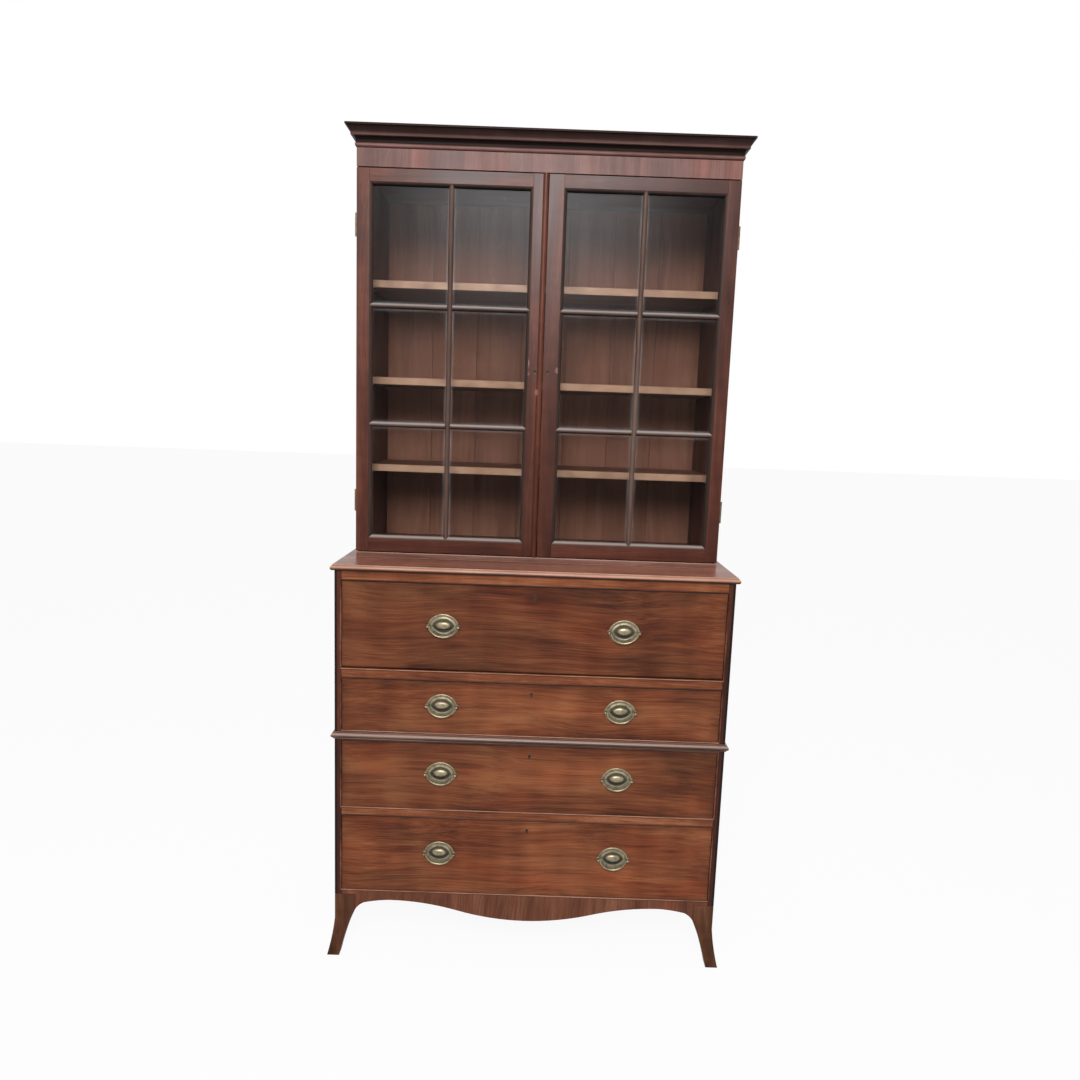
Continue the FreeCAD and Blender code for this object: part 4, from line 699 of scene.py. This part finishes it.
def faces_front(face):
    return face.normal.y < -0.3


def ring(left, right, foot, top, inset, y):
    """The corners of an upright rectangle at a depth, moved in from its edges."""
    return [(left + inset, y, foot + inset), (right - inset, y, foot + inset),
            (right - inset, y, top - inset), (left + inset, y, top - inset)]


def arc(start, end, steps):
    """The angles of an arc's points."""
    return [start + (end - start) * step / steps for step in range(steps + 1)]


def circle(sides):
    """The angles of a circle's points."""
    return [2 * math.pi * side / sides for side in range(sides)]


# Case, shelves and mouldings

def case_pieces():
    for chest in ("lower", "upper"):
        dress(f"{chest}_chest_sides", CARCASE, along="z")
        dress(f"{chest}_chest_boards", RAIL, along="x")
        dress(f"{chest}_chest_back", BACKBOARD, "drawer_lining", along="x")
    dress("waist_moulding", WAIST, width=0.5 * MM, tone_spread=0.0)
    dress("desk_top", DESK, along="x", width=0.5 * MM)
    dress("bookcase_foot_moulding", FOOT_MOULD, along="x", width=2.4 * MM)
    dress("bookcase_sides", CARCASE, along="z")
    for place in ("top", "bottom"):
        dress(f"bookcase_{place}_board", CARCASE, along="x")
    dress("bookcase_back_boards", BACKBOARD, "drawer_lining", along="z")
    back_tongues()
    dress("adjustable_shelves", SHELF, along="x", width=1.6 * MM, extra_edge=faces_front)
    dress("cornice_dust_board", BACKBOARD, "drawer_lining", along="x")
    dress("cornice_moulding", CORNICE, width=0.4 * MM, tone_spread=0.0)
    dress("frieze", CROSSBAND, along="z", width=0.5 * MM)
    dress("feet", FOOT, along="z", width=1.0 * MM)
    dress("front_apron", APRON, along="z", width=1.0 * MM)
    dress("side_aprons", FOOT, along="y", width=1.0 * MM)
    dress("shelf_pegs", DARK_BRASS, "brass", width=0.3 * MM)
    dress("door_hinge_fixed_leaves", DARK_BRASS, "brass", width=0.2 * MM)


TONGUE_REACH, TONGUE_HALF, TONGUE_TRIM = 3 * MM, 1.2 * MM, 2 * MM


def back_tongues():
    """The tongues that join the back boards and keep light out of their seams."""
    boards = sorted(boxes_of("bookcase_back_boards"), key=lambda box: box[0].x)
    tongues = Mesh()
    for number, ((low, first), (second, high)) in enumerate(zip(boards, boards[1:])):
        left, right = first.x - TONGUE_REACH, second.x + TONGUE_REACH
        middle = (low.y + first.y) / 2
        outline = [(left, middle), (left + TONGUE_HALF, middle - TONGUE_HALF),
                   (right - TONGUE_HALF, middle - TONGUE_HALF), (right, middle),
                   (right - TONGUE_HALF, middle + TONGUE_HALF), (left + TONGUE_HALF, middle + TONGUE_HALF)]
        rows = [[(x, y, z) for x, y in outline] for z in (low.z + TONGUE_TRIM, high.z - TONGUE_TRIM)]
        tongues.add_grid(rows, f"tongue{number}", cap_ends=True, along="z")
    tongues.piece("back_board_tongues", BACKBOARD, "case", "drawer_lining")


BEAD_PROUD = 1.6 * MM
BEAD_STEPS = 8
LONGEST_UPRIGHT = 0.5
BEAD_CLEARANCE = 6 * MM


def bead_frames():
    """Half-round beads, mitred at the corners, round each drawer opening."""
    for chest in ("lower", "upper"):
        node = f"{chest}_chest_beading"
        boxes = boxes_of(node)
        uprights = sorted((box for box in boxes if box[1].z - box[0].z > box[1].x - box[0].x),
                          key=lambda box: (round(box[0].z, 3), box[0].x))
        beads = Mesh()
        for number in range(0, len(uprights), 2):
            left, right = uprights[number:number + 2]
            lying = [box for box in boxes if box[1].x - box[0].x > LONGEST_UPRIGHT
                     and left[0].z - BEAD_CLEARANCE < box[0].z < left[1].z + BEAD_CLEARANCE]
            opening = (left[0].x, right[1].x, min(box[0].z for box in lying), max(box[1].z for box in lying))
            wide = left[1].x - left[0].x
            rows = [ring(*opening, 0.0, left[1].y)]
            for angle in arc(0.0, math.pi, BEAD_STEPS):
                depth = left[0].y + BEAD_PROUD - BEAD_PROUD * math.sin(angle)
                rows.append(ring(*opening, wide * (1 - math.cos(angle)) / 2, depth))
            rows.append(ring(*opening, wide, left[1].y))
            # The top corners of each ring carry the mark for the painted shade along the head of the
            # opening.
            beads.add_grid(rows, f"{node}{number}", loop_rows=True, along="x", mitred=True,
                           hollow=[[0.0, 0.0, 1.0, 1.0]] * len(rows))
        beads.piece(f"{node}_finished", BEAD, "case", "mahogany", (node,))


# Doors

def sight_of(door):
    """The opening of a door frame: left, right, foot and top."""
    low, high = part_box(f"{door}_frame")
    middle = (low + high) / 2
    sight = [low.x, high.x, low.z, high.z]
    for low, high in boxes_of(f"{door}_frame"):
        if high.z - low.z > high.x - low.x:
            if high.x < middle.x:
                sight[0] = max(sight[0], high.x)
            else:
                sight[1] = min(sight[1], low.x)
        elif high.z < middle.z:
            sight[2] = max(sight[2], high.z)
        else:
            sight[3] = min(sight[3], low.z)
    return sight


OVOLO_REACH = 9 * MM
OVOLO_STEPS = 7


def ovolo(door):
    """The quarter-round moulding, mitred, that runs round the glass inside the frame."""
    sight = sight_of(door)
    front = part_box(f"{door}_glazing_bars")[0].y
    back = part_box(f"{door}_glass")[0].y
    rows = [ring(*sight, 0.0, back)]
    for angle in arc(0.0, math.pi / 2, OVOLO_STEPS):
        rows.append(ring(*sight, OVOLO_REACH * math.sin(angle), back + (front - back) * math.cos(angle)))
    rows.append(ring(*sight, OVOLO_REACH, back))
    moulding = Mesh()
    moulding.add_grid(rows, door, loop_rows=True, along="z", mitred=True)
    moulding.piece(f"{door}_ovolo_moulding", OVOLO, door, "mahogany")


SCREW_RADIUS, SCREW_SLOT, SCREW_RISE = 2.6 * MM, 0.7 * MM, 0.22 * MM
SCREW_LIFTS = (9 * MM, 30 * MM, 51 * MM)
SCREW_STAGGER = 3 * MM
SCREW_STEPS = 12
LEAF_HEIGHT = 60 * MM
LEAF_MIDDLE = 7.5 * MM  # how far the screws lie in from the side of the case


def screw(gathered, place, outward, seed):
    """A countersunk head that stands a little proud, in two halves with the slot between them."""
    tilt = random.Random(seed).uniform(0, math.pi)
    first = math.asin(SCREW_SLOT / 2 / SCREW_RADIUS)
    for half in (0, 1):
        turned = tilt + half * math.pi
        rows = []
        for rise, trim in ((0.0, 0.0), (0.6, 0.0), (1.0, 0.1 * MM)):
            row = []
            for angle in arc(first, math.pi - first, SCREW_STEPS):
                across = (SCREW_RADIUS - trim) * math.cos(angle)
                up = max((SCREW_RADIUS - trim) * math.sin(angle), SCREW_SLOT / 2 + trim)
                row.append((place.x + across * math.cos(turned) - up * math.sin(turned),
                            place.y + outward * SCREW_RISE * rise,
                            place.z + across * math.sin(turned) + up * math.cos(turned)))
            rows.append(row)
        gathered.add_grid(rows, seed, cap_ends=True)


def hinge_screws():
    """Three screws through each hinge leaf, in the case and in the doors."""
    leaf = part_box("door_hinge_fixed_leaves")
    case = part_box("bookcase_sides")
    case_face = case[0].y
    door_face = leaf[0].y + leaf[1].y - case_face
    for door, side in (("left_door", -1), ("right_door", 1)):
        middle = side * (case[1].x - LEAF_MIDDLE)
        for word, body, face, outward in (("case", "case", case_face, -1), ("door", door, door_face, 1)):
            heads = Mesh()
            for height in (leaf[0].z, leaf[1].z - LEAF_HEIGHT):
                for number, lift in enumerate(SCREW_LIFTS):
                    stagger = SCREW_STAGGER * (1 if number % 2 else -1)
                    place = Vector((middle + stagger, face, height + lift))
                    screw(heads, place, outward, f"{door}{word}{height}{number}")
            heads.piece(f"{door}_{word}_hinge_screws", DARK_BRASS, body, "brass")


PANE_BORDER = 14 * MM


def panes(door):
    """Six panes, each with a border that carries the grime of its edges."""
    glass = Mesh()
    for number, (low, high) in enumerate(boxes_of(f"{door}_glass")):
        rows, hollow = [], []
        for y, insets in ((low.y, (1.0, 0.5, 0.0)), (high.y, (0.0, 0.5, 1.0))):
            for share in insets:
                rows.append(ring(low.x, high.x, low.z, high.z, PANE_BORDER * share, y))
                hollow.append(1.0 - share)
        glass.add_grid(rows, f"{door}{number}", hollow=hollow, cap_ends=True)
    glass.piece(f"{door}_old_panes", GLASS, door, "glass", (f"{door}_glass",), smooth=False)


def doors():
    for door, tone in (("left_door", 1.0), ("right_door", 0.88)):
        dress(f"{door}_frame", DOOR, width=0.9 * MM, tone=tone)
        dress(f"{door}_glazing_bars", BAR, width=0.0)
        panes(door)
        dress(f"{door}_brass", DARK_BRASS, "brass", width=0.3 * MM)
        ovolo(door)
    hinge_screws()


# Handles and keyholes

HOLDERS = ("fall", "upper_drawer", "middle_drawer", "lower_drawer")
PLATE_RINGS = (  # half width, half height, rise, patina, sharpness of the ends and lift of each oval ring
    (42.0, 33.5, 0.0, 0.6, 0.1, 0.0), (42.0, 33.5, 0.8, 0.5, 0.1, 0.0), (41.2, 32.7, 1.6, 0.15, 0.1, 0.0),
    (40.0, 31.5, 2.0, 0.0, 0.1, 0.0), (38.6, 29.9, 1.7, 0.2, 0.1, 0.0), (37.4, 28.6, 1.0, 0.6, 0.1, 0.0),
    (36.0, 27.0, 0.9, 0.45, 0.14, 0.0), (34.2, 25.0, 1.2, 0.2, 0.2, 0.0), (32.6, 22.9, 1.9, 0.0, 0.28, 0.2),
    (31.2, 21.0, 2.3, 0.0, 0.36, 0.4), (30.0, 19.4, 1.9, 0.3, 0.42, 0.6), (29.0, 18.0, 1.1, 0.8, 0.46, 0.8),
    (27.6, 16.2, 0.5, 1.0, 0.46, 1.0), (24.6, 13.9, 0.4, 1.0, 0.36, 1.6), (21.6, 12.2, 0.8, 1.0, 0.1, 2.4),
    (20.4, 11.4, 2.6, 0.6, 0.0, 2.8), (18.8, 10.4, 4.6, 0.15, 0.0, 3.0), (16.0, 8.9, 6.4, 0.0, 0.0, 3.0),
    (12.2, 6.8, 7.6, 0.0, 0.0, 3.0), (7.8, 4.3, 8.3, 0.0, 0.0, 3.0), (3.3, 1.8, 8.6, 0.0, 0.0, 3.0),
    (0.2, 0.1, 8.7, 0.0, 0.0, 3.0))
PLATE_SIDES = 72
POST_RINGS = (  # radius and rise of each ring of a turned post, and its patina
    (5.4, 0.0, 0.6), (5.6, 1.6, 0.2), (5.0, 2.8, 0.1), (3.4, 3.6, 0.7), (2.9, 4.6, 0.8), (3.0, 6.2, 0.3),
    (3.9, 7.4, 0.0), (4.3, 9.2, 0.0), (4.2, 11.4, 0.0), (3.4, 13.4, 0.0), (2.0, 14.6, 0.0),
    (0.2, 15.0, 0.0))
POST_PLACE = 41 * MM
POST_SIDES = 20
BAIL_WIDTH, BAIL_DROP, BAIL_CORNER = 35 * MM, 28 * MM, 3.4 * MM
BAIL_THIN, BAIL_STOUT = 2.0 * MM, 2.9 * MM
BAIL_STEPS, BAIL_SIDES = 24, 14
HANDLE_REACH = 20 * MM  # how near the middle of a handle its CAD plate lies


def plate_mesh(gathered, centre, face, seed):
    """One stamped oval plate with its two posts."""
    rows, hollow = [], []
    for wide, high, rise, patina, sharp, lift in PLATE_RINGS:
        row, patina_and_shade = [], []
        for angle in circle(PLATE_SIDES):
            up = math.copysign(abs(math.sin(angle)) ** (1 + sharp), math.sin(angle))
            row.append((centre.x + wide * MM * math.cos(angle), face - rise * MM,
                        centre.y + (high * up + lift) * MM))
            # Patina in each ring, weighted towards its lower half as painted shade beneath the dome.
            patina_and_shade.append(patina * (0.88 - 0.12 * math.sin(angle)))
        rows.append(row)
        hollow.append(patina_and_shade)
    gathered.add_grid(rows, seed, hollow=hollow)
    for side in (-1, 1):
        turned = [[(centre.x + side * POST_PLACE + radius * MM * math.cos(angle), face - rise * MM,
                    centre.y + radius * MM * math.sin(angle)) for angle in circle(POST_SIDES)]
                  for radius, rise, _ in POST_RINGS]
        gathered.add_grid(turned, seed, hollow=[patina for _, _, patina in POST_RINGS])


def bail_mesh(centre, depth):
    """A swelling bail that hangs from its posts and turns out into them at each end."""
    path = [(-POST_PLACE, 0.0), (-BAIL_WIDTH - BAIL_CORNER, 0.0),
            (-BAIL_WIDTH - BAIL_CORNER * 0.35, -BAIL_CORNER * 0.2), (-BAIL_WIDTH, -BAIL_CORNER)]
    first = math.asin(BAIL_CORNER * 1.6 / BAIL_DROP)
    path += [(-BAIL_WIDTH * math.cos(angle), -BAIL_DROP * math.sin(angle))
             for angle in arc(first, math.pi - first, BAIL_STEPS)]
    path += [(-x, z) for x, z in reversed(path[:4])]
    rows = []
    for index, (x, z) in enumerate(path):
        before, after = path[max(index - 1, 0)], path[min(index + 1, len(path) - 1)]
        tangent = Vector((after[0] - before[0], 0, after[1] - before[1])).normalized()
        side = Vector((0, 1, 0)).cross(tangent)
        radius = BAIL_THIN + (BAIL_STOUT - BAIL_THIN) * (-z / BAIL_DROP) ** 2
        rows.append([Vector((centre.x + x, depth, centre.y + z))
                     + side * radius * math.cos(angle) + Vector((0, 1, 0)) * radius * math.sin(angle)
                     for angle in circle(BAIL_SIDES)])
    gathered = Mesh()
    gathered.add_grid(rows, "bail", cap_ends=True)
    return gathered


def handles():
    """Plates on each front, and a bail on its own hinge at each."""
    for holder in HOLDERS:
        plates = Mesh()
        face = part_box(f"{holder}_front")[0].y
        for side in ("left", "right"):
            joint = next(j for j in frame["joints"] if j["name"] == f"{holder}_{side}_bail_hinge")
            origin = Vector(joint["pos_m"])
            centre = Vector((origin.x, origin.z))
            plate_mesh(plates, centre, face, f"{holder}{side}")
            bail = bail_mesh(centre, origin.y)
            bail.piece(f"{holder}_{side}_bail_cast", BRASS, joint["child"], "brass",
                       (f"{holder}_{side}_bail",))
        plates.piece(f"{holder}_stamped_plates", BRASS, body_named(f"{holder}_brass"), "brass")

        def not_plate(low, high):
            return abs(abs((low.x + high.x) / 2) - abs(centre.x)) > HANDLE_REACH
        dress(f"{holder}_brass", DARK_BRASS, "brass", width=0.3 * MM, keep=not_plate)


KEY_RADIUS, KEY_SLOT, KEY_DROP = 2.4, 2.4, 7.0
KEY_STEPS = 18
KEY_RINGS = ((-0.1, -2.0), (0.0, 0.2), (0.5, 0.5), (1.3, 0.5), (1.8, 0.3), (2.0, 0.0))
KEY_PATINA = (1.0, 1.0, 1.0, 0.9, 0.5, 0.3)
KEY_HEIGHTS = (1.050, 0.781, 0.604, 0.386)  # in metres, in the order of the holders
DOOR_KEYS = (("left_door", -0.021), ("right_door", 0.013))
DOOR_KEY_HEIGHT = 1.647


def escutcheon(name, body, x, face, z, seed):
    """The worn thread of brass round a keyhole: a round hole with a slot below it."""
    rows = []
    for grow, rise in KEY_RINGS:
        radius, half_slot = (KEY_RADIUS + grow) * MM, (KEY_SLOT / 2 + grow) * MM
        start = math.asin(half_slot / radius) if half_slot < radius else math.pi / 2
        foot = -(KEY_DROP + grow) * MM
        outline = [(radius * math.sin(angle), -radius * math.cos(angle))
                   for angle in arc(start, 2 * math.pi - start, KEY_STEPS)]
        rows.append([(x + across, face - rise * MM, z + up)
                     for across, up in [(half_slot, foot), *outline, (-half_slot, foot)]])
    thread = Mesh()
    thread.add_grid(rows, seed, hollow=KEY_PATINA)
    thread.piece(f"{name}_escutcheon", DARK_BRASS, body, "brass")


def keyholes():
    """A thread of brass at each lock: one on each front, and one on each door."""
    for holder, height in zip(HOLDERS, KEY_HEIGHTS):
        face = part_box(f"{holder}_front")[0].y
        escutcheon(holder, body_named(f"{holder}_brass"), 0.0, face, height, holder)
    for door, x in DOOR_KEYS:
        face = min(low.y for low, high in boxes_of(f"{door}_frame")
                   if low.x < x < high.x and low.z < DOOR_KEY_HEIGHT < high.z)
        escutcheon(door, door, x, face, DOOR_KEY_HEIGHT, door)


# Drawers and the writing compartment

DOVETAILS = 4
TAIL_MARGIN = 12 * MM
TAIL_DEPTH, TAIL_THIN, TAIL_PROUD = 13 * MM, 0.1 * MM, 0.2 * MM
TAIL_WIDE, TAIL_NARROW = 0.40, 0.28  # half widths of a tail, as shares of the pitch


def dovetails(holder):
    """The tails of the drawer's sides, let into the ends of its front."""
    low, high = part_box(f"{holder}_front")
    tails = Mesh()
    foot, top = low.z + TAIL_MARGIN, high.z - TAIL_MARGIN
    pitch = (top - foot) / DOVETAILS
    for side, face in ((-1, low.x), (1, high.x)):
        for number in range(DOVETAILS):
            middle = foot + pitch * (number + 0.5)
            rows = []
            for proud, trim in ((-TAIL_PROUD, 0.0), (TAIL_THIN, 0.0), (TAIL_PROUD, TAIL_PROUD)):
                wide, narrow = pitch * TAIL_WIDE - trim, pitch * TAIL_NARROW - trim
                x = face + side * proud
                rows.append([(x, high.y, middle - narrow), (x, high.y, middle + narrow),
                             (x, high.y - TAIL_DEPTH + trim, middle + wide),
                             (x, high.y - TAIL_DEPTH + trim, middle - wide)])
            tails.add_grid(rows, f"{holder}{side}{number}", cap_ends=True, along="y")
    tails.piece(f"{holder}_dovetails", LINING, body_named(f"{holder}_front"), "drawer_lining")


GILT_LINES = ((13 * MM, 2.2 * MM), (18 * MM, 0.8 * MM))  # inset from the edge of the hide, and width
GILT_PROUD = 0.12 * MM


def gilt_lines():
    """Two tooled lines round the leather of the writing surface."""
    low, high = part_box("writing_panel")
    for number, (inset, wide) in enumerate(GILT_LINES):
        rows = [ring(low.x, high.x, low.z, high.z, inset + wide * reach, high.y + GILT_PROUD * proud)
                for reach, proud in ((0.0, 0.0), (0.2, 1.0), (0.8, 1.0), (1.0, 0.0))]
        line = Mesh()
        line.add_grid(rows, f"gilt{number}", loop_rows=True, mitred=True)
        line.piece(f"gilt_line_{number + 1}", GILT, body_named("writing_panel"), "brass")


# The tone of each front: partly its own, partly painted light that makes up for the lamp's light falling off
# towards the floor.
FRONT_TONES_AND_LIGHT = {"fall_front": 0.78, "upper_drawer_front": 0.95, "middle_drawer_front": 0.9,
               "lower_drawer_front": 1.08}
KNOB_REACH = 16 * MM


def drawers():
    for holder in HOLDERS[1:]:
        dress(f"{holder}_box", LINING, "drawer_lining", width=0.6 * MM)
        dovetails(holder)
    for node, tone in FRONT_TONES_AND_LIGHT.items():
        dress(node, FRONT, along="x", width=0.7 * MM, tone_spread=0.0, tone=tone)
    dress("writing_panel", LEATHER, "leather", width=0.4 * MM)
    gilt_lines()
    dress("secretaire_tray", INTERIOR, width=0.7 * MM)
    dress("pigeonhole_unit", INTERIOR, width=0.5 * MM)
    dress("fall_pivot_arms", DARK_BRASS, "mahogany", width=0.3 * MM)
    for number in range(1, 5):
        node = f"small_drawer_{number}"
        knob_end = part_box(node)[0].y + KNOB_REACH
        dress(node, INTERIOR, width=0.4 * MM, keep=lambda low, high: high.y > knob_end)
        dress(node, BRASS, "brass", width=0.0, name=f"{node}_turned_knob", replaces=False,
              keep=lambda low, high: high.y <= knob_end)


case_pieces()
bead_frames()
doors()
handles()
keyholes()
drawers()


# Stage, light and camera

FLOOR_REACH = 30.0
FLOOR_GLOW = 0.93
WORLD_LIGHT = 0.42
LAMP_PLACE = Vector((-0.12, -3.7, 3.3))
LAMP_AIM = Vector((0.0, 0.0, 1.0))
LAMP_WATTS = 165.0
LAMP_PEAK = 2.25
LAMP_SIZE = (2.1, 2.1)
LAMP_TINT = (0.97, 0.985, 1.0, 1.0)
CAMERA_PLACE = Vector((0.0042, -2.3491, 1.5106))
CAMERA_YAW, CAMERA_PITCH, CAMERA_ROLL = 0.0020, 0.1439, 0.0353
CAMERA_LENS = 26.95


def background_ray(nodes):
    """1 for rays that show the background: from the camera, or by way of metal or glass."""
    path = nodes.add("LightPath").outputs
    seen = nodes.math("MAXIMUM", path["Is Camera Ray"], path["Is Glossy Ray"])
    return nodes.math("MAXIMUM", seen, path["Is Transmission Ray"])


def stage():
    world = bpy.data.worlds.new("studio")
    bpy.context.scene.world = world
    world.use_nodes = True
    nodes = Nodes(world.node_tree)
    light = nodes.add("Background", {"Color": WHITE, "Strength": WORLD_LIGHT})
    shown = nodes.add("Background", {"Color": WHITE, "Strength": 1.0})
    nodes.add("OutputWorld", {"Surface": nodes.either(background_ray(nodes), light, shown)})

    mesh = bpy.data.meshes.new("floor")
    corners = [(x * FLOOR_REACH, y * FLOOR_REACH, 0) for x, y in ((-1, -1), (1, -1), (1, 1), (-1, 1))]
    mesh.from_pydata(corners, [], [(0, 1, 2, 3)])
    floor = new_object("floor", mesh)
    material, nodes, shader, output = new_material("pale_floor")
    nodes.fill(shader, {"Base Color": (0.86, 0.86, 0.86, 1.0), "Roughness": 0.9, "Specular IOR Level": 0.1})
    glow = nodes.add("Emission", {"Color": WHITE, "Strength": 1.0})
    pale = nodes.times(background_ray(nodes), FLOOR_GLOW)
    nodes.fill(output, {"Surface": nodes.either(pale, shader, glow)})
    mesh.materials.append(material)


def lamp():
    """A wide softbox that fades towards its rim, so that gloss shows no hard edge."""
    data = bpy.data.lights.new("softbox", "AREA")
    data.shape = "RECTANGLE"
    data.size, data.size_y = LAMP_SIZE
    data.energy = LAMP_WATTS
    data.use_nodes = True
    nodes = Nodes(data.node_tree)
    turn = (LAMP_AIM - LAMP_PLACE).to_track_quat("-Z", "Y")
    place = nodes.vector("SUBTRACT", nodes.add("NewGeometry").outputs["Position"], LAMP_PLACE)
    level = LAMP_PEAK
    for axis, size in zip((Vector((1, 0, 0)), Vector((0, 1, 0))), LAMP_SIZE):
        along = nodes.add("VectorMath", {0: place, 1: turn @ axis * 2 / size}, operation="DOT_PRODUCT")
        share = along.outputs["Value"]
        level = nodes.times(nodes.math("SUBTRACT", 1.0, nodes.times(share, share), clamp=True), level)
    shine = nodes.add("Emission", {"Color": LAMP_TINT, "Strength": level})
    nodes.add("OutputLight", {"Surface": shine.outputs[0]})
    light = new_object("softbox", data)
    light.location = LAMP_PLACE
    light.rotation_euler = turn.to_euler()


def camera():
    data = bpy.data.cameras.new("photograph_view")
    data.lens = CAMERA_LENS
    data.sensor_width = 36.0
    data.clip_start, data.clip_end = 0.05, 100.0
    ahead = Vector((math.sin(CAMERA_YAW) * math.cos(CAMERA_PITCH),
                    math.cos(CAMERA_YAW) * math.cos(CAMERA_PITCH), -math.sin(CAMERA_PITCH)))
    right = Vector((math.cos(CAMERA_YAW), -math.sin(CAMERA_YAW), 0))
    up = right.cross(ahead)
    across = right * math.cos(CAMERA_ROLL) + up * math.sin(CAMERA_ROLL)
    upward = up * math.cos(CAMERA_ROLL) - right * math.sin(CAMERA_ROLL)
    turn = Matrix((across, upward, -ahead)).transposed().to_4x4()
    eye = new_object("photograph_view", data)
    eye.matrix_world = Matrix.Translation(CAMERA_PLACE) @ turn
    bpy.context.scene.camera = eye


stage()
lamp()
camera()
bpy.context.scene.view_settings.view_transform = "Standard"
